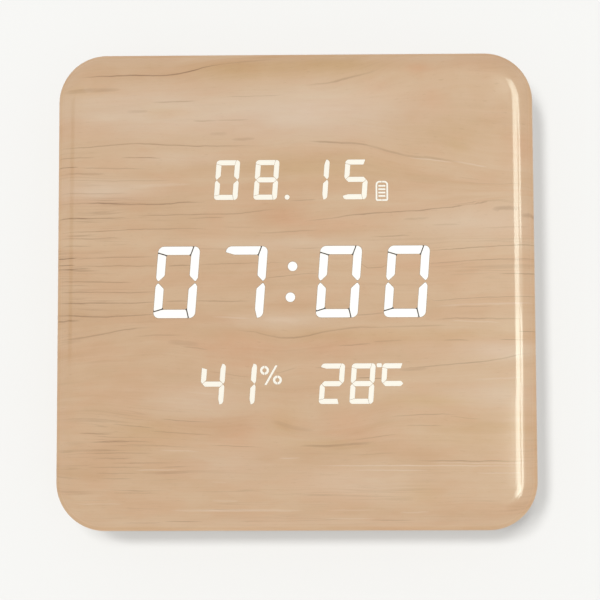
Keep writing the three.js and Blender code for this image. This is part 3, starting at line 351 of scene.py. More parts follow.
# The grain's flow, in mm. Places on the face are read off a ruler whose zero and scale differ a little from
# the face's own. Each line is the height of one growth line, after the height that it would have in straight
# grain.
grain = {
    "faceMiddle": 85, "rulerScale": 0.977, "rulerZero": (-0.7, 1.4), "span": 140, "blur": 2.4,
    "blurReach": 15, "soften": [(-0.8, 0.25), (0, 0.5), (0.8, 0.25)],
    "lines": [
        (-92, [(-92, -92), (92, -92)]),
        (-62, [(-92, -62), (6, -62), (92, -62.3)]),
        (-54, [(-92, -53.4), (-54, -53.2), (-30, -54.7), (-14, -55.5), (4, -55), (10, -55.2), (20, -54.4),
               (34, -53), (60, -54), (92, -54)]),
        (-44, [(-92, -42), (-75, -41), (-60, -43.3), (-48, -45.3), (-31, -46.3), (-16, -45), (-8, -46),
               (-2, -48.5), (6, -49.5), (20, -48), (34, -44.6), (42, -44), (54, -43.8), (64, -45),
               (92, -45)]),
        (-31, [(-92, -34), (-60, -31), (-40, -30.5), (-20, -33), (0, -32), (10, -31), (20, -30.7),
               (31, -30.4), (40, -31.5), (60, -31), (92, -30)]),
        (-25.5, [(-92, -28), (-70, -25), (-50, -24), (-30, -26.6), (-18, -29), (-8, -29.4), (-4, -28.4),
                 (0, -26.6), (8, -27.2), (20, -27.4), (40, -27.5), (46, -27), (54, -26.2), (60, -25.7),
                 (66, -25.2), (70, -24.6), (74, -23.8), (80, -22.2), (92, -21)]),
        (-18.5, [(-92, -22), (-70, -19.5), (-50, -17.6), (-40, -18.2), (-30, -19.5), (-18, -20), (-6, -20.6),
                 (0, -20.2), (14, -18.6), (24, -18), (36, -17.6), (56, -17.3), (74, -17.4), (92, -17.2)]),
        (-14, [(-92, -18), (-84, -17), (-78, -16.4), (-70, -14.9), (-64, -13.3), (-58, -12.4), (-40, -12),
               (-28, -12.4), (-20, -13.3), (-15, -14), (-11, -15), (-9, -16.1), (-4, -16.5), (0, -16.5),
               (5, -15.3), (9, -14.2), (16, -13), (20, -12.4), (34, -12.5), (50, -11.9), (60, -12), (70, -13),
               (82, -14.9), (92, -15)]),
        (-11, [(-92, -12), (-70, -11), (-58, -10.2), (-30, -10.3), (-12, -11.5), (0, -12.6), (10, -11.6),
               (20, -10.3), (50, -10.2), (56, -9.6), (60, -10), (78, -9.6), (92, -9.4)]),
        (-8.3, [(-92, -7.5), (-78, -8), (-74, -8.6), (-66, -8.5), (-52, -7.8), (-30, -7.8), (-10, -8.6),
                (4, -9), (16, -8.4), (24, -8), (31, -7), (40, -6.4), (58, -5.3), (92, -5)]),
        (-3.4, [(-92, -4), (-76, -3.6), (-60, -3.5), (-46, -2.9), (-32, -3), (-26, -3.3), (-16, -3), (0, -3),
                (20, -3.6), (50, -3.3), (60, -2.6), (66, -2), (92, -1.6)]),
        (0.2, [(-92, 0.5), (-60, 0.1), (-20, 0.8), (0, 1.6), (20, 1.6), (40, 1), (60, 1.3), (92, 2)]),
        (4.5, [(-92, 4.6), (-80, 4.3), (-64, 3.9), (-40, 4), (-20, 4.2), (-12, 4.9), (0, 6.7), (6, 7.1),
               (20, 6.6), (40, 5.8), (66, 6.3), (92, 6.9)]),
        (10, [(-92, 10.2), (-79, 9.9), (-50, 9.8), (-38, 10.2), (-26, 10.4), (-8, 10.9), (4, 10.4), (14, 9),
              (24, 8.7), (30, 9), (48, 10.2), (64, 11.4), (78, 12), (92, 12.1)]),
        (12.8, [(-92, 12.6), (-80, 12.4), (-62, 13.2), (-50, 13.4), (-20, 13), (0, 12.6), (24, 11.6),
                (48, 12.6), (60, 13.4), (92, 14.4)]),
        (16, [(-92, 15.6), (-34, 16), (8, 16), (30, 15.3), (48, 14.8), (56, 15.5), (70, 16.4), (78, 16.9),
              (92, 17.2)]),
        (19.8, [(-92, 20.2), (-76, 19.7), (-66, 20), (-40, 19.5), (-10, 19.2), (10, 19.6), (38, 20.5),
                (92, 21.5)]),
        (22.5, [(-92, 21.4), (-80, 21.9), (-70, 22.3), (-62, 23), (-44, 23.3), (-34, 23.2), (-20, 22),
                (-10, 21.6), (0, 22.5), (10, 22.9), (50, 24), (92, 24.5)]),
        (25, [(-92, 23.9), (-70, 24.4), (-40, 24.9), (0, 25.2), (8, 25.8), (12, 26.7), (20, 27.8), (28, 28.6),
              (36, 29.1), (44, 29.6), (52, 30.4), (58, 31.2), (66, 32.8), (70, 33.4), (78, 34), (92, 34.3)]),
        (28.5, [(-92, 26.9), (-80, 26.9), (-64, 27.3), (-58, 28.1), (-38, 28.5), (-20, 28.7), (-12, 30.2),
                (-4, 30.8), (30, 31.3), (50, 32.2), (62, 33.3), (70, 34.1), (92, 34.9)]),
        (32.8, [(-92, 32.8), (-70, 32.8), (-62, 32.5), (-50, 32.1), (-42, 32.9), (-36, 33), (0, 33),
                (6, 33.6), (40, 34.3), (60, 34.7), (92, 35.4)]),
        (36.5, [(-92, 36.2), (-66, 36.2), (-40, 37), (10, 38.5), (30, 38), (50, 37), (62, 36.5), (92, 36)]),
        (45.5, [(-92, 46), (-79, 45.8), (-60, 45.3), (-40, 45), (-10, 46), (10, 47), (25, 46), (40, 42.5),
                (50, 41), (60, 39.5), (70, 38.7), (92, 38)]),
        (53.5, [(-92, 52.8), (-78, 53), (-70, 53.7), (-62, 54.3), (-56, 54.5), (-50, 54.1), (-44, 53.7),
                (-36, 53.3), (-18, 53.4), (-10, 53.7), (-4, 54.8), (2, 55.3), (10, 54.6), (22, 54.2),
                (27, 53.2), (31, 52), (36, 50.6), (40, 49.4), (50, 48.6), (58, 47.2), (66, 45.6), (74, 44.6),
                (92, 43)]),
        (65, [(-92, 64.5), (-60, 65), (-20, 66), (0, 67), (20, 67), (50, 66.8), (92, 65)]),
        (75, [(-92, 72.8), (-70, 73.6), (-30, 74.8), (-10, 75), (4, 75.3), (12, 76), (18, 77.5), (24, 79),
              (29, 81), (34, 83.5), (40, 86.5), (60, 91), (92, 95)]),
        (81, [(-92, 78.4), (-78, 78.9), (-70, 79.3), (-62, 79.5), (-47, 79.3), (-42, 80), (-38, 81),
              (-34, 82.5), (-28, 83.9), (-20, 85), (-10, 86.2), (0, 87.5), (20, 91), (40, 95), (92, 101)]),
        (96, [(-92, 92), (-30, 95), (0, 98), (92, 112)]),
    ],
}


# The straight-grain height of a point: the growth lines above and below it, blurred along x, are
# interpolated in z and averaged over a short height. Past the last lines the height goes on unchanged.
def grainHeight(x, z):
    span, reach = grain["span"], grain["blurReach"]
    along = np.arange(-span, span + 1, 1.0)
    blur = np.exp(-(np.arange(-reach, reach + 1) / grain["blur"]) ** 2)
    heights, values = [], []
    for value, points in grain["lines"]:
        line = np.interp(along, *np.transpose(points))
        line = np.convolve(np.pad(line, reach, "edge"), blur / blur.sum(), "valid")
        heights.append(np.interp(x, along, line))
        values.append(value)
    total = 0
    for shift, weight in grain["soften"]:
        level = z + shift
        result = np.where(level < heights[0], level - heights[0] + values[0], level - heights[-1] + values[-1])
        for low, high, lowValue, highValue in zip(heights[:-1], heights[1:], values[:-1], values[1:]):
            share = (level - low) / (high - low)
            result = np.where((share >= 0) & (share <= 1), lowValue + share * (highValue - lowValue), result)
        total = total + weight * result
    return total


# Soft patches of figure in the wood, one of them painted light: kind, middle x and z, half width and half
# height, strength
figurePatches = [
    ("line", -80, 14, 22, 30, 1.0), ("line", -66, -52, 26, 12, 0.8), ("line", -60, -66, 22, 8, 1.0),
    ("line", 0, -76, 90, 9, 0.6), ("line", 60, -60, 28, 6, 0.6), ("line", 62, 10, 28, 14, 0.5),
    ("pale", 3, 65, 34, 9, 1.0), ("pale", -56, 66, 28, 9, 0.8), ("pale", -70, 37, 20, 4, 0.7),
    ("pale", 66, 25, 24, 6, 0.5), ("pale", -6, -10, 18, 2.6, 0.45), ("pale", 74, -21, 14, 3, 0.7),
    ("pale", 70, -37, 14, 4, 0.5), ("pale", -36, -39, 16, 6, 0.45), ("pale", -24, -62, 16, 6, 0.3),
    # The long pale patch along the bottom edge, at z -84, is painted light: it makes the lower band paler.
    ("pale", 20, -68, 22, 6, 0.35), ("pale", 0, -84, 85, 4, 0.4), ("pale", -40, 49, 20, 2.5, 0.4),
    ("pale", 0, 17.5, 30, 2.5, 0.35), ("yellow", -22, 82, 16, 4, 1.0), ("yellow", 12, 83.5, 22, 4, 1.0),
    ("yellow", -76, 74, 10, 1.6, 0.8), ("yellow", -50, 66, 10, 2.6, 0.8), ("yellow", 58, 53, 4, 3, 0.5),
    ("yellow", 56, 57, 18, 6, 0.3), ("yellow", 30, -15.5, 50, 2.6, 0.6), ("yellow", 10, -54.5, 12, 1.4, 0.8),
    ("yellow", -5, -46, 5, 5, 0.6), ("yellow", 48, -39, 16, 2.2, 0.7), ("yellow", 62, -50, 18, 7, 0.5),
    ("yellow", -54, -50, 14, 5, 0.5), ("yellow", 45, -72, 7, 3.5, 0.5), ("yellow", 20, 45, 24, 6, 0.5),
    ("yellow", -6, 46, 20, 5, 0.4), ("pink", -6, 28, 10, 4, 1.0), ("pink", 14, 24.5, 14, 3, 0.9),
    ("pink", -29, 28, 4, 5, 0.5), ("pink", -22, -20, 14, 6, 0.9), ("pink", 14, -19, 16, 4, 0.8),
    ("pink", -17, -26, 7, 2, 0.5), ("pink", 18, -47, 9, 5, 1.0), ("pink", -22, -51, 9, 5, 0.8),
    ("pink", 44, 81.5, 5, 2, 0.9), ("pink", 49, 70, 3, 5, 0.5), ("pink", 50, 8, 20, 4, 0.4),
    ("pink", 30, 75, 8, 3, 0.4), ("pink", 80, 52, 6, 6, 0.5),
]


# Sums of round bells, each patch exp(-(dx/width)^2 - (dz/height)^2), one channel for each kind
def figureOf(x, z):
    channels = []
    for kind in ("line", "pale", "pink", "yellow"):
        total = np.zeros(len(x))
        for name, middleX, middleZ, width, height, strength in figurePatches:
            if name == kind:
                total += strength * np.exp(-((x - middleX) / width) ** 2 - ((z - middleZ) / height) ** 2)
        channels.append(np.clip(total, 0, 1))
    return np.stack(channels, 1)


# Single growth lines that stand out: x from and to, the height halfway, half the thickness, strength
darkLines = [
    (-79, -26, 79.4, 0.34, 1.0), (-30, -6, 85.0, 0.30, 0.3), (2, 31, 77.1, 0.30, 0.35),
    (-86, -64, 74.0, 1.1, 0.35), (-53, -36, 69.7, 0.40, 0.35), (-62, -54, 66.2, 0.80, 0.25),
    (-27, -4, 71.6, 0.24, 0.35), (-38, -29, 62.6, 0.36, 0.3), (-30, -17, 62.9, 0.34, 0.25),
    (-32, -25, 57.8, 0.70, 0.2), (-24, -15, 55.8, 0.60, 0.3), (-89, -14, 54.2, 0.26, 0.6),
    (4, 27, 54.4, 0.40, 0.6), (22, 60, 49.2, 0.50, 0.35), (-89, -73, 49.3, 0.22, 0.6),
    (-64, -49, 49.3, 0.20, 0.75), (-90, -79, 46.0, 0.24, 1.0), (-80, -54, 45.4, 0.22, 0.5),
    (-85, -69, 43.5, 0.22, 0.6), (-87, -44, 40.8, 0.22, 0.3), (-88, -60, 36.2, 0.22, 0.35),
    (-78, -33, 32.2, 0.28, 0.9), (-90, -58, 32.8, 0.22, 0.4), (-90, -61, 27.0, 0.30, 0.8),
    (-61, -5, 28.5, 0.24, 0.55), (-40, -26, 27.2, 0.22, 0.5), (-3, 7, 33.2, 0.30, 0.5),
    (58, 66, 41.0, 0.24, 0.3), (58, 84, 38.8, 0.26, 0.45), (2, 82, 29.5, 0.24, 0.7),
    (54, 81, 33.1, 0.26, 0.4), (-88, -31, 23.1, 0.22, 0.55), (-27, -15, 23.7, 0.22, 0.25),
    (-88, -63, 19.8, 0.26, 0.65), (-15, 8, 22.0, 0.22, 0.45), (26, 41, 20.2, 0.22, 0.45),
    (48, 59, 24.1, 0.22, 0.25), (65, 85, 23.1, 0.22, 0.25), (38, 48, 26.4, 0.22, 0.25),
    (70, 81, 29.9, 0.26, 0.45), (80, 92, 27.4, 0.24, 0.4), (-86, -74, 17.0, 0.22, 0.45),
    (-37, -23, 15.9, 0.22, 0.4), (-90, -79.5, 12.6, 0.26, 1.2), (-84, -51, 12.9, 0.22, 0.6),
    (-3, 10, 16.0, 0.22, 0.3), (45, 92, 16.2, 0.24, 0.65), (-90, -80, 10.3, 0.24, 0.9),
    (-82, -48, 9.8, 0.22, 0.5), (-47, -38, 9.9, 0.24, 0.8), (-39, -3, 10.6, 0.20, 0.45),
    (21, 33, 8.8, 0.22, 0.5), (44, 92, 11.5, 0.24, 0.65), (-90, -79, 8.8, 0.22, 0.8),
    (-14, 9, 6.3, 0.22, 0.45), (72, 92, 6.6, 0.24, 0.65), (54, 69, 6.4, 0.22, 0.25),
    (-88, -59, 4.1, 0.28, 0.7), (-89, -74, 2.8, 0.22, 0.4), (-88, -49, 0.3, 0.24, 0.65),
    (-88, -49, -3.6, 0.28, 0.8), (-48, -38, -2.9, 0.24, 0.6), (-39, -16, -3.1, 0.22, 0.6),
    (46, 92, -2.0, 0.24, 0.6), (-90, -49, -8.5, 0.28, 0.8), (-90, -78, -9.9, 0.24, 1.0),
    (19, 33, -7.9, 0.26, 0.6), (56, 71, -5.2, 0.22, 0.3), (49, 81, -9.8, 0.22, 0.5),
    (-88, -53, -14.9, 0.26, 0.65), (-23, 36, -15.0, 0.24, 0.5), (-11, 27, -14.4, 0.24, 0.25),
    (30, 54, -12.2, 0.40, 0.35), (-59, -41, -15.1, 0.24, 0.3), (-47, -35, -18.1, 1.00, 0.28),
    (-42, -32, -19.8, 0.24, 0.4), (78, 92, -14.9, 0.26, 0.65), (27, 38, -17.5, 0.26, 0.35),
    (52, 62, -17.4, 0.24, 0.4), (72, 83, -17.3, 0.24, 0.55), (14, 27, -18.9, 0.22, 0.4),
    (36, 84, -25.7, 0.24, 0.55), (36, 47, -27.9, 0.80, 0.3), (6, 19, -27.3, 0.26, 0.65),
    (20, 33, -30.6, 0.28, 0.8), (-32, -16, -29.5, 0.24, 0.4), (-9, 0, -28.4, 0.24, 0.4),
    (32, 57, -44.0, 0.24, 0.5), (38, 52, -47.8, 0.22, 0.4), (54, 66, -45.2, 0.22, 0.3),
    (19, 36, -51.9, 0.24, 0.4), (0, 27, -54.8, 0.80, 0.5), (-10, 6, -48.5, 1.10, 0.2),
    (-50, -29, -46.0, 0.22, 0.55), (-67, -51, -47.7, 0.24, 0.5), (-79, -66, -50.3, 0.26, 0.6),
    (-54, -30, -50.3, 0.22, 0.5), (-75, -52, -53.3, 0.26, 0.55), (-67, -35, -54.7, 0.24, 0.3),
    (-32, -12, -55.0, 0.22, 0.5), (41, 84, -60.5, 0.22, 0.6), (25, 42, -81.7, 0.24, 0.5),
    (-48, -34, -82.0, 0.26, 0.5), (-63, -48, -82.7, 0.22, 0.5), (-76, -51, -57.4, 0.20, 0.4),
    (-75, -59, -59.3, 0.20, 0.4), (-67, -44, -60.9, 0.20, 0.4), (-76, -54, -62.4, 0.22, 0.4),
    (-73, -57, -64.6, 0.20, 0.4), (-71, -59, -66.5, 0.20, 0.4), (-67, -49, -71.6, 0.20, 0.3),
    (16, 36, -58.0, 0.22, 0.3),
]

# Pale streaks between them, given in the same way
paleLines = [
    (40, 57, 47.9, 0.34, 0.5), (56, 69, 46.1, 0.34, 0.5), (-62, -38, 39.2, 0.80, 0.35),
    (50, 88, -4.3, 0.70, 0.4), (54, 73, -10.8, 0.34, 0.4), (-31, -17, -8.9, 0.40, 0.35),
    (-13, 1, -9.9, 1.00, 0.3), (-50, -35, -56.6, 0.32, 0.35), (-7, 1, -59.3, 0.34, 0.4),
    (-59, -42, -63.4, 0.28, 0.5), (5, 82, -62.1, 0.28, 0.6), (19, 47, -63.7, 0.28, 0.5),
    (63, 80, -64.8, 0.26, 0.4), (43, 82, -61.2, 0.24, 0.5), (-31, -25, -67.8, 0.34, 0.2),
    (-46, 3, -77.8, 0.55, 0.6), (10, 28, -77.8, 0.28, 0.35), (36, 47, -78.6, 0.32, 0.4),
    (9, 28, -81.0, 0.28, 0.5), (-81, -61, -75.4, 0.24, 0.4), (-31, -21, -74.5, 0.50, 0.35),
    (-40, -29, -36.0, 0.34, 0.2), (-25, -19, -32.6, 0.26, 0.15), (63, 81, -31.2, 0.40, 0.3),
]


# Lenses along the grain, where 1 - (distance / thickness)^2 - (place / half length)^4 is above zero, times
# their strength. Each vector carries three lines, so the list is filled up with lines of no strength.
def lensSum(tree, along, height, lines):
    along, height = [addNode(tree, "CombineXYZ", [value] * 3) for value in (along, height)]
    lines = lines + [(*lines[0][:4], 0.0)] * (-len(lines) % 3)
    total = 0.0
    for three in zip(lines[0::3], lines[1::3], lines[2::3]):
        start, end, level, thickness, strength = np.transpose(three)
        middle, half = (start + end) / 2, (end - start) / 2
        level = grainHeight(middle, level)
        across = addNode(tree, "VectorMath", [height, (1 / thickness).tolist(), (-level / thickness).tolist()],
                         operation="MULTIPLY_ADD")
        place = addNode(tree, "VectorMath", [along, (1 / half).tolist(), (-middle / half).tolist()],
                        operation="MULTIPLY_ADD")
        across = addNode(tree, "VectorMath", [across, across], operation="MULTIPLY")
        place = addNode(tree, "VectorMath", [place, place], operation="MULTIPLY")
        outside = addNode(tree, "VectorMath", [place, place, across], operation="MULTIPLY_ADD")
        lens = addNode(tree, "VectorMath", [(1, 1, 1), outside], operation="SUBTRACT")
        lens = addNode(tree, "VectorMath", [lens, (0, 0, 0)], operation="MAXIMUM")
        lens = addNode(tree, "VectorMath", [lens, strength.tolist()], "Value", operation="DOT_PRODUCT")
        total = addNode(tree, "Math", [lens, total], operation="ADD")
    return total


# The veneer. The lacquer's values are those of the polished face and of the thin, rubbed-down sides, between
# two depths in mm. Each noise has its key, whether it lies at the grain's own height, its cell's length and
# thickness in mm, its detail and its seed. A reading takes a noise from two of its levels to two shares.
veneer = {
    "Roughness": 0.46, "Coat IOR": 1.5, "rubbedDepths": (-14, -11),
    "lacquer": {"Specular IOR Level": (0.25, 0.04), "Coat Weight": (1.0, 0.06), "Coat Roughness": (0.075, 0.5)},
    "noises": [
        ("wander", True, 22, 9, 2, 3.0), ("fibres", False, 46, 0.62, 3, 5.0),
        ("paleTear", False, 20, 4.2, 3, 21.0), ("pinkTear", False, 20, 4.2, 3, 23.0),
        ("yellowTear", False, 20, 4.2, 3, 25.0), ("blotches", False, 17, 6, 3, 27.0),
        ("bands", False, 150, 11, 2, 1.0), ("stripes", False, 110, 2.6, 3, 2.0),
        ("clouds", True, 34, 13, 2, 9.0), ("flecks", False, 3.2, 0.34, 1, 7.0), ("rosy", True, 26, 8, 3, 29.0),
        ("ridge", False, 80, 1.9, 1, 11.0), ("fade", True, 26, 5, 1, 13.0), ("sway", True, 7, 7, 2, 31.0),
        ("broken", True, 11, 1.5, 2, 17.0),
    ],
    "noiseRoughness": 0.55, "wander": 1.7, "sway": 0.7,
    "readings": {
        "paleTear": (0.36, 0.62, 0.8, 1.0, "SMOOTHSTEP"), "pinkTear": (0.36, 0.62, 0.8, 1.0, "SMOOTHSTEP"),
        "yellowTear": (0.36, 0.62, 0.8, 1.0, "SMOOTHSTEP"), "blotches": (0.40, 0.60, 0.0, 1.0, "SMOOTHSTEP"),
        "flecks": (0.64, 0.78, 0.0, 0.12, "LINEAR"), "rosy": (0.42, 0.62, 0.0, 0.32, "SMOOTHSTEP"),
        "fade": (0.44, 0.62, 0.0, 1.0, "LINEAR"),
    },
    "darkest": 0.145,
    "tones": {"bands": 0.30, "stripes": 0.11, "fibres": 0.12, "clouds": 0.24, "blotches": 0.05, "pale": 0.27,
              "yellow": -0.14},
    "stops": [(0.0, "#B28960"), (0.3, "#C9A176"), (0.55, "#D6B28D"), (0.8, "#DEC19F"), (1.0, "#E7D3C0")],
    "tints": [("pink", "#FFF1EA"), ("rosy", "#FFF1EA"), ("yellow", "#FDFBEC"), ("flecks", "#A07C5A")],
    "veil": (0.4, "#E2CCBC"), "ridgeWidth": 0.034, "fineLines": (0.5, 0.05), "broken": (1.15, 0.08),
    "paleLine": "#EAD3BA", "darkLine": "#8A6645", "relief": -1.2, "bump": 0.25, "bumpDepth": 0.02,
}


# Maple veneer, sliced, filled and satin lacquered: an even pale ground with thin brown growth lines that
# follow the flow, soft pale, pinkish and yellowish figure, and a thin clear coat with a crisp highlight
def veneerMaterial(name, dark, light):
    material, tree, shader = newMaterial(name, {key: veneer[key] for key in ("Roughness", "Coat IOR")})
    depth = addNode(tree, "SeparateXYZ", [addNode(tree, "TexCoord", output="Object")], "Y")
    near, far = veneer["rubbedDepths"]
    for socket, (polished, rubbed) in veneer["lacquer"].items():
        lacquer = addNode(tree, "MapRange", {
            "Value": depth, "From Min": near * mm, "From Max": far * mm, "To Min": polished, "To Max": rubbed,
        }, interpolation_type="SMOOTHSTEP")
        tree.links.new(lacquer, shader.inputs[socket])

    # The first noise makes the wandering height at which all the noises that aren't straight lie
    along = addNode(tree, "SeparateXYZ", [addNode(tree, "UVMap", uv_map="grain")])
    across = along.node.outputs["Y"]
    layers, height = {}, across
    for key, straight, length, thickness, detail, seed in veneer["noises"]:
        cell = [addNode(tree, "Math", [along, length], operation="DIVIDE"),
                addNode(tree, "Math", [across if straight else height, thickness], operation="DIVIDE"), seed]
        layers[key] = addNode(tree, "TexNoise", {"Vector": addNode(tree, "CombineXYZ", cell), "Scale": 1.0,
                                                 "Detail": detail, "Roughness": veneer["noiseRoughness"]})
        if key == "wander":
            height = addNode(tree, "Math", [layers[key], veneer["wander"], across], operation="MULTIPLY_ADD")
            height = addNode(tree, "Math", [height, veneer["wander"] / 2], operation="SUBTRACT")
        if key in veneer["readings"]:
            low, high, start, end, curve = veneer["readings"][key]
            layers[key] = addNode(tree, "MapRange", {"Value": layers[key], "From Min": low, "From Max": high,
                                                     "To Min": start, "To Max": end}, interpolation_type=curve)

    # Each patch of figure is torn along the grain by a noise of its own
    figure = addNode(tree, "Attribute", attribute_name="figure")
    kinds = addNode(tree, "SeparateColor", [figure]).node
    for kind, channel in (("pale", kinds.outputs["Green"]), ("pink", kinds.outputs["Blue"]),
                          ("yellow", figure.node.outputs["Alpha"])):
        layers[kind] = addNode(tree, "Math", [channel, layers[f"{kind}Tear"]], operation="MULTIPLY",
                               use_clamp=True)

    # Tone runs from 0, a dark growth line, to 1, the palest ground
    tone = veneer["darkest"]
    for key, weight in veneer["tones"].items():
        tone = addNode(tree, "Math", [layers[key], weight, tone], operation="MULTIPLY_ADD")
    colour = addNode(tree, "ValToRGB", [tone])
    ramp = colour.node.color_ramp
    first, *between, last = veneer["stops"]
    for position, stop in between:
        ramp.elements.new(position).color = toLinear(stop)
    ramp.elements[0].color, ramp.elements[-1].color = toLinear(first[1]), toLinear(last[1])
    for key, tint in veneer["tints"]:
        colour = addNode(tree, "Mix", {mixShare: layers[key], mixUnder: colour, mixOver: toLinear(tint)},
                         mixColour, data_type="RGBA", blend_type="MULTIPLY")

    # A milky veil over the pale patches
    share, tint = veneer["veil"]
    veil = addNode(tree, "Math", [layers["pale"], share], operation="MULTIPLY")
    colour = addNode(tree, "Mix", {mixShare: veil, mixUnder: colour, mixOver: toLinear(tint)}, mixColour,
                     data_type="RGBA")

    # Fine lines where a noise crosses its middle, most of them in the patches that have many
    ridge = addNode(tree, "Math", [layers["ridge"], 0.5], operation="SUBTRACT")
    ridge = addNode(tree, "Math", [ridge], operation="ABSOLUTE")
    line = addNode(tree, "MapRange", {"Value": ridge, "From Min": 0.0, "From Max": veneer["ridgeWidth"],
                                      "To Min": 1.0, "To Max": 0.0}, interpolation_type="SMOOTHSTEP")
    strength = addNode(tree, "Math", [kinds.outputs["Red"], *veneer["fineLines"]], operation="MULTIPLY_ADD")
    for share in (line, layers["fade"]):
        strength = addNode(tree, "Math", [strength, share], operation="MULTIPLY")

    # The single lines, swaying a little and broken along their length
    sway = addNode(tree, "Math", [layers["sway"], veneer["sway"], across], operation="MULTIPLY_ADD")
    sway = addNode(tree, "Math", [sway, veneer["sway"] / 2], operation="SUBTRACT")
    strength = addNode(tree, "Math", [strength, lensSum(tree, along, sway, dark)], operation="ADD")
    broken = addNode(tree, "Math", [layers["broken"], *veneer["broken"]], operation="MULTIPLY_ADD")
    strength = addNode(tree, "Math", [strength, broken], operation="MULTIPLY", use_clamp=True)
    streaks = addNode(tree, "Math", [lensSum(tree, along, sway, light), broken], operation="MULTIPLY",
                      use_clamp=True)
    for share, tint in ((streaks, veneer["paleLine"]), (strength, veneer["darkLine"])):
        colour = addNode(tree, "Mix", {mixShare: share, mixUnder: colour, mixOver: toLinear(tint)}, mixColour,
                         data_type="RGBA")
    tree.links.new(colour, shader.inputs["Base Color"])
    relief = addNode(tree, "Math", [strength, veneer["relief"], layers["fibres"]], operation="MULTIPLY_ADD")
    bump = addNode(tree, "Bump", {"Strength": veneer["bump"], "Distance": veneer["bumpDepth"] * mm,
                                  "Height": relief})
    tree.links.new(bump, shader.inputs["Normal"])
    return material


# The case: sizes in mm, insets measured from the outline, depths from the face at y -15 to the rim at 15
case = {
    "size": 170, "corner": 17.3, "faceY": -15, "rearY": 15, "round": 8.0, "rearRound": 0.6, "wall": 3, "web": 1,
    "side": 6, "rim": 3, "rimEdge": 0.25, "rimFloorY": 11.5, "pocket": (106.6, 94.6, 2.0), "cornerSteps": 30,
    "sideSteps": 46, "roundSteps": 22, "depthSteps": 5, "sheetInset": 0.5, "net": (2.6, 1.3), "netMargin": 3.5,
    "netCorner": 3, "netClear": 0.4,
}


# Insets and depths: over the rounding, down the side, round the rear rim and back inside to the face's wall.
# The small rounding at the rear takes every fourth step.
def caseProfile():
    faceY, rearY, curve, soft, rim = [case[name] for name in ("faceY", "rearY", "round", "rearRound", "rim")]
    turn = np.linspace(0, math.pi / 2, case["roundSteps"] + 1)
    profile = [(curve + case["sheetInset"], faceY)]
    profile += [(curve * (1 - math.sin(a)), faceY + curve * (1 - math.cos(a))) for a in turn]
    profile += [(0, y) for y in np.linspace(faceY + curve, rearY - soft, case["depthSteps"])[1:]]
    profile += [(soft * (1 - math.cos(a)), rearY - soft + soft * math.sin(a)) for a in turn[4::4]]
    profile += [(soft, rearY), (rim - case["rimEdge"], rearY), (rim, rearY - case["rimEdge"]),
                (rim, case["rimFloorY"]), (case["side"], case["rimFloorY"]),
                (case["side"], faceY + case["wall"])]
    return np.array(profile)


# Points in even steps over the face, clear of the windows' edges. A point's way to an edge less its share
# along the edge is its nearest distance.
def evenNet(windows):
    stepX, stepZ = case["net"]
    middle = (0, grain["faceMiddle"])
    reach = case["size"] / 2 - case["round"] - case["netMargin"]
    netX, netZ = np.meshgrid(np.arange(-reach, reach, stepX), np.arange(-reach, reach, stepZ))
    net = np.stack([netX.ravel(), netZ.ravel() + middle[1]], 1)
    corner = np.maximum(np.abs(net - middle) - (case["size"] / 2 - case["corner"]), 0)
    net = net[np.linalg.norm(corner, axis=1) < case["corner"] - case["round"] - case["netCorner"]]
    clear = np.ones(len(net), dtype=bool)
    for shape in windows:
        edge, way = np.roll(shape, -1, 0) - shape, net[:, None] - shape
        share = np.clip((way * edge).sum(2) / np.maximum((edge ** 2).sum(1), 1e-9), 0, 1)
        clear &= np.linalg.norm(way - share[..., None] * edge, axis=2).min(1) > case["netClear"]
    return net[clear]


# The front sheet over the net, and the net without its points inside a window, which the sheet leaves out
def frontSheetOf(outline, windows):
    net = evenNet(windows)
    sheet = piercedSheet(outline, windows, net)
    first = len(outline) + sum(len(shape) for shape in windows)
    used = np.unique([i for face in sheet for i in face if i >= first])
    renumbered = np.arange(first + len(net))
    renumbered[used] = first + np.arange(len(used))
    return [renumbered[face].tolist() for face in sheet], net[used - first]


# Whether a triangle of the face is thin wood between two bars of a large digit, away from the digit's waist
def betweenBars(corners, owners):
    thin, short, away = display["seamTest"]
    sides = np.sort(np.linalg.norm(corners - np.roll(corners, 1, 1), axis=2), axis=1)
    first, second = corners[:, 1] - corners[:, 0], corners[:, 2] - corners[:, 0]
    height = np.abs(first[:, 0] * second[:, 1] - first[:, 1] * second[:, 0]) / sides[:, 2]
    waist = np.abs(corners[:, :, 1].mean(1) - display["middle"][1] - display["rows"]["time"][1])
    low, high = owners.min(1), owners.max(1)
    large = len(litOutlines("time", 0))
    return ((low > -1) & (low < high) & (high < large) & (height < thin) & (sides[:, 1] < short)
            & (waist >= away))


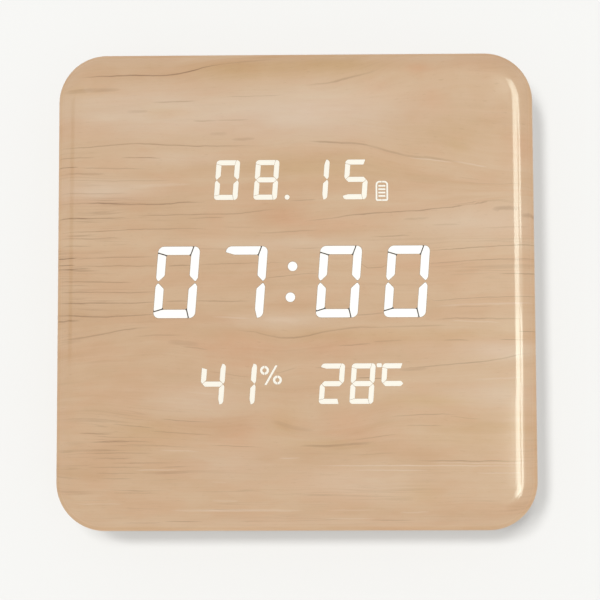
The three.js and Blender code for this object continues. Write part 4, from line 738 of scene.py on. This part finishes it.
# Rings of the profile carried round the rounded square and on to the pocket behind the display. Two pierced
# sheets close it, and a short wall joins them round each window. The outline less the one that lies 1 mm
# inside it gives each point's way outwards.
def buildCase():
    faceY, middle, cuts = case["faceY"], (0, grain["faceMiddle"]), (case["cornerSteps"], case["sideSteps"])
    profile = caseProfile()
    steps = np.linalg.norm(np.diff(profile, axis=0), axis=1)
    runs = np.concatenate([[0], np.cumsum(steps)]) - case["round"] - case["sheetInset"]
    flat = roundedSquare(case["size"], case["size"], case["corner"], middle, *cuts)
    outward = flat - roundedSquare(case["size"] - 2, case["size"] - 2, case["corner"] - 1, middle, *cuts)
    width, height, radius = case["pocket"]
    pocket = roundedSquare(width, height, radius, display["middle"], *cuts)
    rings = [np.insert(flat - outward * inset, 1, level, axis=1) for inset, level in profile]
    rings += [np.insert(pocket, 1, faceY + case[depth], axis=1) for depth in ("wall", "web")]
    maps = [flat + outward * run for run in runs] + [pocket, pocket]
    count = len(flat)
    ringStart = np.arange(len(rings) - 1)[:, None] * count
    a, b = ringStart + np.arange(count), ringStart + np.roll(np.arange(count), -1)
    faces = np.stack([b, a, a + count, b + count], 2).reshape(-1, 4).tolist()

    windows = [shape for row in display["rows"] for shape in litOutlines(row, 0)]
    lips = np.concatenate(windows)
    frontSheet, net = frontSheetOf(rings[0][:, [0, 2]], windows)
    backSheet = piercedSheet(rings[-1][:, [0, 2]], windows)
    points = np.concatenate([*rings, np.insert(np.concatenate([lips, net]), 1, faceY, axis=1),
                             np.insert(lips, 1, faceY + case["web"], axis=1)])
    flatMap = np.concatenate([*maps, lips, net, lips])
    sheetStart, base = len(faces), len(rings) * count
    last, far = base - count, base + len(lips) + len(net)
    faces += [[i if i < count else base + i - count for i in face] for face in frontSheet]
    faces += [[last + i if i < count else far + i - count for i in reversed(face)] for face in backSheet]
    start = 0
    for shape in windows:
        i = start + np.arange(len(shape))
        j = np.roll(i, -1)
        faces += np.stack([base + i, base + j, far + j, far + i], 1).tolist()
        start += len(shape)

    obj = newPiece("case_shell", points, faces, "clock", ["wood_case"])
    mesh = obj.data
    x, z = ((flatMap - middle) / grain["rulerScale"] + grain["rulerZero"]).T
    heightOf = grainHeight(x, z)
    loopVertex = np.empty(len(mesh.loops), dtype=np.int32)
    mesh.loops.foreach_get("vertex_index", loopVertex)
    grainMap = np.stack([x, heightOf], 1)[loopVertex]
    mesh.uv_layers.new(name="grain").data.foreach_set("uv", grainMap.ravel())
    mesh.attributes.new("figure", "FLOAT_COLOR", "POINT").data.foreach_set("color", figureOf(x, z).ravel())

    # The lower half's material, the second, carries the lower lines. The thin wood between two bars, over the
    # reflector's walls, takes the third: painted shade, dark where the walls' shadow would fall.
    ownerOf = np.full(len(points), -1)
    ownerOf[base:base + len(lips)] = np.repeat(np.arange(len(windows)), [len(shape) for shape in windows])
    slots = np.array([int(heightOf[face].mean() < 0) for face in faces], dtype=np.int32)
    front = np.array(faces[sheetStart:sheetStart + len(frontSheet)])
    overSeams = betweenBars(points[front][:, :, [0, 2]], ownerOf[front])
    slots[sheetStart + np.flatnonzero(overSeams)] = 2
    mesh.polygons.foreach_set("material_index", slots)
    return obj


# Both halves carry the lines near their border, whose lenses reach a little over it
def linesOf(lines, side, over=6):
    return [line for line in lines if grainHeight((line[0] + line[1]) / 2, line[2]) * side > -over]


caseShell = buildCase()
halves = [veneerMaterial(f"satin lacquered maple veneer, {half} half", linesOf(darkLines, side),
                         linesOf(paleLines, side)) for half, side in (("upper", 1), ("lower", -1))]
# Painted shade: veneer glimpsed between two lit bars, coloured a dark, dull brown for the reflector walls'
# shadow
seamShadeVeneer, _, _ = newMaterial("maple veneer, painted shade between lit bars", {
    "Base Color": toLinear("#574C42"), "Roughness": 0.5, "Specular IOR Level": 0.3,
})
finish(caseShell, *halves, seamShadeVeneer)
print("case built:", len(caseShell.data.polygons), "faces")


# Light guides: a plate behind the veneer with a raised bar in each window. Sizes are in mm, and each kind of
# glow has a name, two colours and a strength.
guides = {
    "gap": 0.1, "corner": 1.0, "cornerSteps": 4, "cloud": 6.25,
    "glows": {"lit_guide_white": ("milky lit acrylic, white", ("#FFFFFF", "#FFFEFB"), 0.62),
              "lit_guide_cream": ("milky lit acrylic, cream", ("#FFFAEC", "#FFF7E2"), 0.55)},
}


# Milky acrylic lit from behind: an even glow that hides what is behind it, with a soft satin face
def litMaterial(name, glow, strength):
    material, tree, shader = newMaterial(name, {"Base Color": toLinear("#B4B2AC"), "Roughness": 0.4,
                                                "Specular IOR Level": 0.3, "Emission Strength": strength})
    place = addNode(tree, "TexCoord", output="Object")
    cloud = addNode(tree, "TexNoise", {"Vector": place, "Scale": 1 / (guides["cloud"] * mm), "Detail": 1.0})
    colour = addNode(tree, "Mix", {mixShare: cloud, mixUnder: toLinear(glow[0]), mixOver: toLinear(glow[1])},
                     mixColour, data_type="RGBA")
    tree.links.new(colour, shader.inputs["Emission Color"])
    return material


# A plate the size of the CAD guide, its front sheet pierced under each bar, with the bar's wall and cap
def buildGuide(row):
    low, high = [np.array(corner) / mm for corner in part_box(f"{row}_light_guide")]
    capY, plateY = case["faceY"] + display["recess"], case["faceY"] + case["web"] + guides["gap"]
    middle = ((low[0] + high[0]) / 2, (low[2] + high[2]) / 2)
    outline = roundedSquare(high[0] - low[0], high[2] - low[2], guides["corner"], middle, guides["cornerSteps"])
    bars = litOutlines(row, display[display["rows"][row][0]]["fit"])
    lips = np.concatenate(bars)
    count, base = len(outline), 2 * len(outline)
    points = np.concatenate([np.insert(outline, 1, plateY, axis=1), np.insert(outline, 1, high[1], axis=1),
                             np.insert(lips, 1, plateY, axis=1), np.insert(lips, 1, capY, axis=1)])
    i = np.arange(count)
    j = np.roll(i, -1)
    faces = np.stack([j, i, i + count, j + count], 1).tolist() + [list(range(base - 1, count - 1, -1))]
    faces += [[k if k < count else base + k - count for k in face] for face in piercedSheet(outline, bars)]
    start, caps = base, []
    for shape in bars:
        i = start + np.arange(len(shape))
        j = np.roll(i, -1)
        faces += np.stack([i, j, j + len(lips), i + len(lips)], 1).tolist() + [(i + len(lips)).tolist()]
        caps.append(len(faces) - 1)
        start += len(shape)
    guide = newPiece(f"{row}_lit_guide", points, faces, "clock", [f"{row}_light_guide"])
    sides = np.ones(len(faces), dtype=np.int32)
    sides[caps] = 0
    guide.data.polygons.foreach_set("material_index", sides)
    return guide


glows = {slot: litMaterial(*glow) for slot, glow in guides["glows"].items()}
# The guide's sides and plate coloured dull black: painted shade in the gap round each bar
gapShadeSides, _, _ = newMaterial("dull black acrylic sides, painted shade round the bars", {
    "Base Color": toLinear("#2A2622"), "Roughness": 0.7,
})
for row in display["rows"]:
    slot = "lit_guide_white" if row == "time" else "lit_guide_cream"
    finish(buildGuide(row), glows[slot], gapShadeSides)
print("light guides built")


# Finishes of the other pieces. Sizes of each pattern are in mm.

# Moulded plastic: one colour through and through, with the fine spark-worn texture of its mould
def mouldedPlastic(name, colours, roughness, grit, depth, shine=0.4):
    material, tree, shader = newMaterial(name, {"Specular IOR Level": shine, "IOR": 1.53})
    place = addNode(tree, "TexCoord", output="Object")
    cloud, wear, texture = [
        addNode(tree, "TexNoise", {"Vector": place, "Scale": 1 / (size * mm), "Detail": detail})
        for size, detail in ((14, 2.0), (5, 2.0), (grit, 3.0))]
    colour = addNode(tree, "Mix", {mixShare: cloud, mixUnder: toLinear(colours[0]),
                                   mixOver: toLinear(colours[1])}, mixColour, data_type="RGBA")
    tree.links.new(colour, shader.inputs["Base Color"])
    rough = addNode(tree, "MapRange", {"Value": wear, "To Min": roughness - 0.05, "To Max": roughness + 0.05})
    tree.links.new(rough, shader.inputs["Roughness"])
    bump = addNode(tree, "Bump", {"Strength": 0.5, "Distance": depth * mm, "Height": texture})
    tree.links.new(bump, shader.inputs["Normal"])
    return material


# Sawn pine: straight pale grain with fine saw marks across it, open and dull
def sawnPine(name="sawn unfinished pine", growth=2.4, saw=0.5):
    material, tree, shader = newMaterial(name, {"Roughness": 0.8, "Specular IOR Level": 0.2})
    place = addNode(tree, "TexCoord", output="Object")
    lines, marks = [addNode(tree, "TexNoise", {
        "Vector": addNode(tree, "VectorMath", [place, stretch], operation="DIVIDE"), "Scale": 1 / (size * mm),
        "Detail": detail}) for size, detail, stretch in ((growth, 3.0, (1, 1, 14)), (saw, 1.0, (8, 8, 1)))]
    ground = addNode(tree, "ValToRGB", [lines])
    ramp = ground.node.color_ramp
    ramp.elements[0].color, ramp.elements[1].color = toLinear("#B98E5C"), toLinear("#DDBC8C")
    ramp.elements[0].position, ramp.elements[1].position = 0.3, 0.65
    tree.links.new(ground, shader.inputs["Base Color"])
    bump = addNode(tree, "Bump", {"Strength": 0.6, "Distance": 0.08 * mm, "Height": marks})
    tree.links.new(bump, shader.inputs["Normal"])
    return material


# Nickel-plated steel: warm grey mirror, dulled by fine turning marks
def platedSteel(name="nickel-plated turned steel", mark=0.12):
    material, tree, shader = newMaterial(name, {"Metallic": 1.0})
    place = addNode(tree, "TexCoord", output="Object")
    turned = addNode(tree, "VectorMath", [place, (6, 1, 6)], operation="DIVIDE")
    cloud, marks = [addNode(tree, "TexNoise", {"Vector": point, "Scale": 1 / (size * mm), "Detail": 2.0})
                    for point, size in ((place, 2.0), (turned, mark))]
    colour = addNode(tree, "Mix", {mixShare: cloud, mixUnder: toLinear("#C9C6C0"),
                                   mixOver: toLinear("#B3B0AB")}, mixColour, data_type="RGBA")
    tree.links.new(colour, shader.inputs["Base Color"])
    rough = addNode(tree, "MapRange", {"Value": marks, "To Min": 0.2, "To Max": 0.42})
    tree.links.new(rough, shader.inputs["Roughness"])
    return material


# Epoxy board under green solder mask: copper tracks show through as paler, slightly raised lines. They are
# the mortar of a brick pattern, which has half its width on each side of a joint.
def solderMask(name="green solder mask on epoxy", track=1.1, pitch=7):
    material, tree, shader = newMaterial(name, {"Roughness": 0.32, "Specular IOR Level": 0.5})
    place = addNode(tree, "TexCoord", output="Object")
    place = addNode(tree, "Mapping", {"Vector": place, "Rotation": (math.pi / 2, 0, 0)})
    tracks = addNode(tree, "TexBrick", {
        "Vector": place, "Scale": 1 / (pitch * mm), "Mortar Size": track / (2 * pitch),
        "Color1": toLinear("#14532F"), "Color2": toLinear("#12492A"), "Mortar": toLinear("#2A7A45")})
    tree.links.new(tracks, shader.inputs["Base Color"])
    bump = addNode(tree, "Bump", {"Strength": 0.5, "Distance": 0.03 * mm, "Height": tracks.node.outputs["Fac"]})
    tree.links.new(bump, shader.inputs["Normal"])
    return material


# Aluminium laminate pouch: bright grey film, crinkled where it is drawn round the cell
def laminateFilm(name="aluminium laminate film", crinkle=3.5, shade=6):
    material, tree, shader = newMaterial(name, {"Metallic": 1.0, "Roughness": 0.34})
    place = addNode(tree, "TexCoord", output="Object")
    cloud = addNode(tree, "TexNoise", {"Vector": place, "Scale": 1 / (shade * mm), "Detail": 2.0})
    colour = addNode(tree, "Mix", {mixShare: cloud, mixUnder: toLinear("#C4C6C9"),
                                   mixOver: toLinear("#AEB0B4")}, mixColour, data_type="RGBA")
    tree.links.new(colour, shader.inputs["Base Color"])
    cells = addNode(tree, "TexVoronoi", {"Vector": place, "Scale": 1 / (crinkle * mm)})
    bump = addNode(tree, "Bump", {"Strength": 0.4, "Distance": 0.15 * mm, "Height": cells})
    tree.links.new(bump, shader.inputs["Normal"])
    return material


# Each plastic's name, two colours, roughness, size and depth of its grit in mm, and shine
plastics = {
    # Dull black that swallows the light between the bars
    "black_plastic": ("moulded black ABS", ("#1C1C1D", "#222223"), 0.5, 0.5, 0.02),
    # Warm off-white with a fine, even sparkle
    "cover_plastic": ("spark-textured ivory ABS", ("#E9E5DC", "#E4DFD5"), 0.56, 0.55, 0.05),
    # A shade darker and smoother than the cover round it
    "key_plastic": ("smooth stone-grey ABS", ("#D6D1C7", "#D0CBC0"), 0.38, 0.4, 0.01),
    # Soft, chalky and open
    "foam_tape": ("white polyethylene foam tape", ("#E6E3DA", "#DAD6CB"), 0.85, 0.6, 0.2, 0.2),
    # Bright and slightly glossy, as wire sleeves are
    "red_sleeve": ("red PVC sleeve", ("#B01E17", "#A61A14"), 0.35, 0.8, 0.01),
    "black_sleeve": ("black PVC sleeve", ("#19191A", "#202021"), 0.35, 0.8, 0.01),
    # Creamy and waxy
    "socket_plastic": ("natural nylon", ("#F0ECDD", "#E8E3D2"), 0.45, 0.5, 0.02),
    # Soft dark grey with hardly any shine
    "pad_rubber": ("dark grey silicone rubber", ("#4A4947", "#42413F"), 0.75, 0.7, 0.04, 0.3),
}
finishes = {slot: mouldedPlastic(*recipe) for slot, recipe in plastics.items()}
finishes |= {"raw_wood": sawnPine(), "circuit_board": solderMask(), "screw_steel": platedSteel(),
             "cell_foil": laminateFilm()}

# Pieces whose edges show: the width in mm of the rounding that their mould or tool leaves
edgeWidths = {
    "rear_cover": 0.3, "stand_leg": 0.35, "stand_foot_pad": 0.3, "stand_hinge_pin": 0.12,
    "up_key_cap": 0.22, "set_key_cap": 0.22, "down_key_cap": 0.22, "power_switch_knob": 0.15,
    "power_switch_housing": 0.1, "charging_port_shell": 0.06, "charging_port_insert": 0.06,
    "cover_screw_lower_left": 0.12, "cover_screw_lower_right": 0.12, "cover_screw_upper_left": 0.12,
    "cover_screw_upper_right": 0.12,
}


# How they are rounded: nearest points in mm, flat and sharp angles in degrees
rounding = {"apart": 0.001, "flat": 0.5, "sharp": 32, "bevelled": 35, "segments": 3}


# A copy of a CAD node with its triangles merged into whole faces and its sharp edges rounded
def roundedCopy(node, width):
    source = nodes[node]
    mesh = source.data.copy()
    mesh.name = f"{node}_rounded"
    work = bmesh.new()
    work.from_mesh(mesh)
    bmesh.ops.remove_doubles(work, verts=work.verts, dist=rounding["apart"] * mm)
    bmesh.ops.dissolve_limit(work, angle_limit=math.radians(rounding["flat"]), verts=work.verts,
                             edges=work.edges)
    work.to_mesh(mesh)
    work.free()
    mesh.polygons.foreach_set("use_smooth", np.ones(len(mesh.polygons), dtype=bool))
    mesh.set_sharp_from_angle(angle=math.radians(rounding["sharp"]))
    obj = bpy.data.objects.new(f"{node}_rounded", mesh)
    bpy.context.scene.collection.objects.link(obj)
    bevel = obj.modifiers.new("rounded edges", "BEVEL")
    bevel.width, bevel.segments, bevel.limit_method = width * mm, rounding["segments"], "ANGLE"
    bevel.angle_limit, bevel.harden_normals = math.radians(rounding["bevelled"]), True
    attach(obj, source["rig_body"])
    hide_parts(node)
    return obj


for node, slot in slotOf.items():
    if slot in finishes:
        finish(roundedCopy(node, edgeWidths[node]) if node in edgeWidths else nodes[node], finishes[slot])
print("other pieces finished")


# Stage: a pale wall that the clock hangs on, seen from its front only, and a pale floor below. Sizes are in
# mm. A paint has its colour and the shares that it reflects and that it shines by itself. The card's top and
# foot run between two azimuths in degrees, at a height.
stage = {
    "wallY": 15.05, "floorZ": -30, "reach": 1600, "paper": "#F7F7F5",
    "wallPaint": ("#F7F7F5", 0.17, 0.351), "floorPaint": ("#F2F2EF", 0.45, 0.53),
    "cardFrom": (-80, -14), "cardAway": 520, "cardTop": (26, 48, 300), "cardFoot": (35, 54, 84),
}


# A flat four-cornered sheet through corners given in mm
def stageSheet(name, corners, material):
    mesh = bpy.data.meshes.new(name)
    mesh.from_pydata((np.array(corners, float) * mm).tolist(), [], [list(range(len(corners)))])
    obj = bpy.data.objects.new(name, mesh)
    bpy.context.scene.collection.objects.link(obj)
    finish(obj, material)
    return obj


# Matt painted board: it partly shines by itself, so that only soft shadows show on it. From behind it
# isn't seen.
def boardMaterial(name, colour, diffuse, own):
    material = bpy.data.materials.new(name)
    material.use_nodes = True
    tree = material.node_tree
    tree.nodes.clear()
    paint = np.array(toLinear(colour)[:3])
    tint = (paint / paint.max()).tolist()
    lit = addNode(tree, "BsdfDiffuse", {"Color": (*[value * diffuse for value in tint], 1.0)})
    glow = addNode(tree, "Emission", {"Color": (*tint, 1.0), "Strength": own})
    both = addNode(tree, "AddShader", [lit, glow])
    behind = addNode(tree, "NewGeometry", output="Backfacing")
    surface = addNode(tree, "MixShader", [behind, both, addNode(tree, "BsdfTransparent")])
    addNode(tree, "OutputMaterial", [surface])
    return material


def addStage():
    reach, wallY, floorZ = stage["reach"], stage["wallY"], stage["floorZ"]
    wall = stageSheet("backdrop", [(-reach, wallY, floorZ), (reach, wallY, floorZ), (reach, wallY, reach),
                                   (-reach, wallY, reach)],
                      boardMaterial("matt white backdrop", *stage["wallPaint"]))
    wall.visible_diffuse = wall.visible_glossy = wall.visible_transmission = wall.visible_shadow = False
    floor = stageSheet("floor", [(-reach, -reach, floorZ), (reach, -reach, floorZ), (reach, reach, floorZ),
                                 (-reach, reach, floorZ)],
                       boardMaterial("matt pale floor", *stage["floorPaint"]))
    floor.visible_glossy = False
    # A dark card at the left, seen only in the gloss of the rounded edge, where it draws a fine dark line
    cardX, cardY = stage["cardFrom"]
    corners = []
    for near, far, height in (stage["cardFoot"], stage["cardTop"]):
        corners.append([(cardX - math.tan(math.radians(angle)) * stage["cardAway"], cardY - stage["cardAway"],
                         height) for angle in (far, near)])
    corners = corners[0] + corners[1][::-1]
    cardPaint, _, _ = newMaterial("matt black card", {"Base Color": toLinear("#101010"), "Roughness": 1.0})
    card = stageSheet("dark_card", corners, cardPaint)
    card.visible_camera = card.visible_diffuse = card.visible_transmission = card.visible_shadow = False
    return wall, floor


wall, floor = addStage()

# Lights: places in mm, angles in degrees. Shares are of the light that shows a colour as it is written. A sun
# has its slopes in x and z and its share. A strip, mirrored in the rounded right edge, runs between two
# azimuths and two heights and has a radiance. Each stands a step behind the one before, because lamps in one
# plane would hide each other.
lights = {
    "worldShare": 0.88, "mirroredShare": 0.8,
    "key": {"place": (650, -1000, -420), "size": 900, "share": 0.24},
    "rear": {"place": (-300, 1150, 420), "size": 900, "share": 0.14},
    "suns": [(0.315, 0.25, 1.2), (0.325, 0.07, 0.75), (0.07, 0.26, 0.75)], "sunAway": 1000, "sunAngle": 9,
    "stripFrom": (78, -14), "stripAway": 520, "stripStep": 8, "stripTint": (1.0, 1.12, 1.0),
    "strips": [
        (8.5, 48, -60, 300, 1.2), (20, 48, -100, -60, 1.2), (6.0, 7.2, 264, 276, 2.4), (24, 32, 392, 432, 5.4),
        (19, 37, 345, 392, 5.4), (13, 41, 300, 345, 5.4), (9, 41, 270, 300, 5.4), (10.5, 33, 115, 270, 5.4),
        (10.5, 31.5, 50, 115, 7.6), (8, 27, -16, 50, 7.6), (11, 27, -40, -16, 7.6), (15, 30, -80, -40, 7.6),
        (20, 34, -115, -80, 7.6), (41, 50, 189, 300, 5.6), (38.5, 48.5, 60, 128, 7.6),
        (34, 44.5, -215, 60, 7.0), (27, 34, -160, -40, 5.0),
    ],
}


def addLight(name, kind, place, towards, settings):
    data = bpy.data.lights.new(name, kind)
    for key, value in settings.items():
        setattr(data, key, value)
    obj = bpy.data.objects.new(name, data)
    bpy.context.scene.collection.objects.link(obj)
    place, towards = Vector(place) * mm, Vector(towards) * mm
    turn = (towards - place).to_track_quat("-Z", "Y").to_matrix().to_4x4()
    obj.matrix_world = Matrix.Translation(place) @ turn
    return obj


# A lamp lights only some objects, or all but some
def linkTo(light, name, objects, state):
    group = bpy.data.collections.new(name)
    for obj in objects:
        group.objects.link(obj)
    light.light_linking.receiver_collection = group
    for member in group.collection_objects:
        member.light_linking.link_state = state


# A soft lamp's power for a share of full light at the face: irradiance is power times the facing share
# over pi times the distance squared, and full light is an irradiance of pi
def softPower(place, share):
    way = Vector(place) - Vector((0, 0, grain["faceMiddle"]))
    return share * math.pi * math.pi * (way.length * mm) ** 2 / (abs(way.y) / way.length) ** 2


def addLights():
    middle = (0, 0, grain["faceMiddle"])
    for name in ("key", "rear"):
        soft = lights[name]
        lamp = addLight(f"{name}_softbox", "AREA", soft["place"], middle, {
            "shape": "SQUARE", "size": soft["size"] * mm, "energy": softPower(soft["place"], soft["share"])})
        lamp.visible_glossy = lamp.visible_camera = False
        linkTo(lamp, f"{name}_spares", [wall, floor], "EXCLUDE")
    for number, (slopeX, slopeZ, share) in enumerate(lights["suns"]):
        away = lights["sunAway"]
        sun = addLight(f"shadow_sun_{number + 1}", "SUN", (-slopeX * away, -away, slopeZ * away), (0, 0, 0), {
            "energy": share * math.pi, "angle": math.radians(lights["sunAngle"])})
        linkTo(sun, f"shadow_receivers_{number + 1}", [wall], "INCLUDE")
    startX, startY = lights["stripFrom"]
    away = lights["stripAway"]
    for number, (near, far, lowZ, highZ, radiance) in enumerate(lights["strips"]):
        nearX, farX = [startX + math.tan(math.radians(angle)) * away for angle in (near, far)]
        place = Vector(((nearX + farX) / 2, startY - away - lights["stripStep"] * number, (lowZ + highZ) / 2))
        width, height = farX - nearX, highZ - lowZ
        lamp = addLight(f"highlight_strip_{number + 1}", "AREA", place, place + Vector((0, 100, 0)), {
            "shape": "RECTANGLE", "size": width * mm, "size_y": height * mm,
            "energy": radiance * math.pi * width * height * mm * mm, "color": lights["stripTint"]})
        lamp.visible_diffuse = lamp.visible_camera = lamp.visible_transmission = False


addLights()


# The world: the paper's colour where it is seen, a dimmer room where it is mirrored, and a plain soft light
# for everything else
def setWorld():
    world = bpy.data.worlds.new("plain studio")
    bpy.context.scene.world = world
    world.use_nodes = True
    tree = world.node_tree
    tree.nodes.clear()
    ray = addNode(tree, "LightPath").node.outputs
    seen = addNode(tree, "Math", [ray["Is Camera Ray"], ray["Is Transmission Ray"]], operation="MAXIMUM")
    soft = addNode(tree, "Background", [toLinear("#FFFFFF"), lights["worldShare"]])
    room = addNode(tree, "Background", [toLinear("#FFFFFF"), lights["mirroredShare"]])
    paper = addNode(tree, "Background", [toLinear(stage["paper"]), 1.0])
    light = addNode(tree, "MixShader", [ray["Is Glossy Ray"], soft, room])
    addNode(tree, "OutputWorld", [addNode(tree, "MixShader", [seen, light, paper])])


setWorld()
bpy.context.scene.view_settings.view_transform = "Standard"
print("stage and lights set")

bpy.context.view_layer.update()
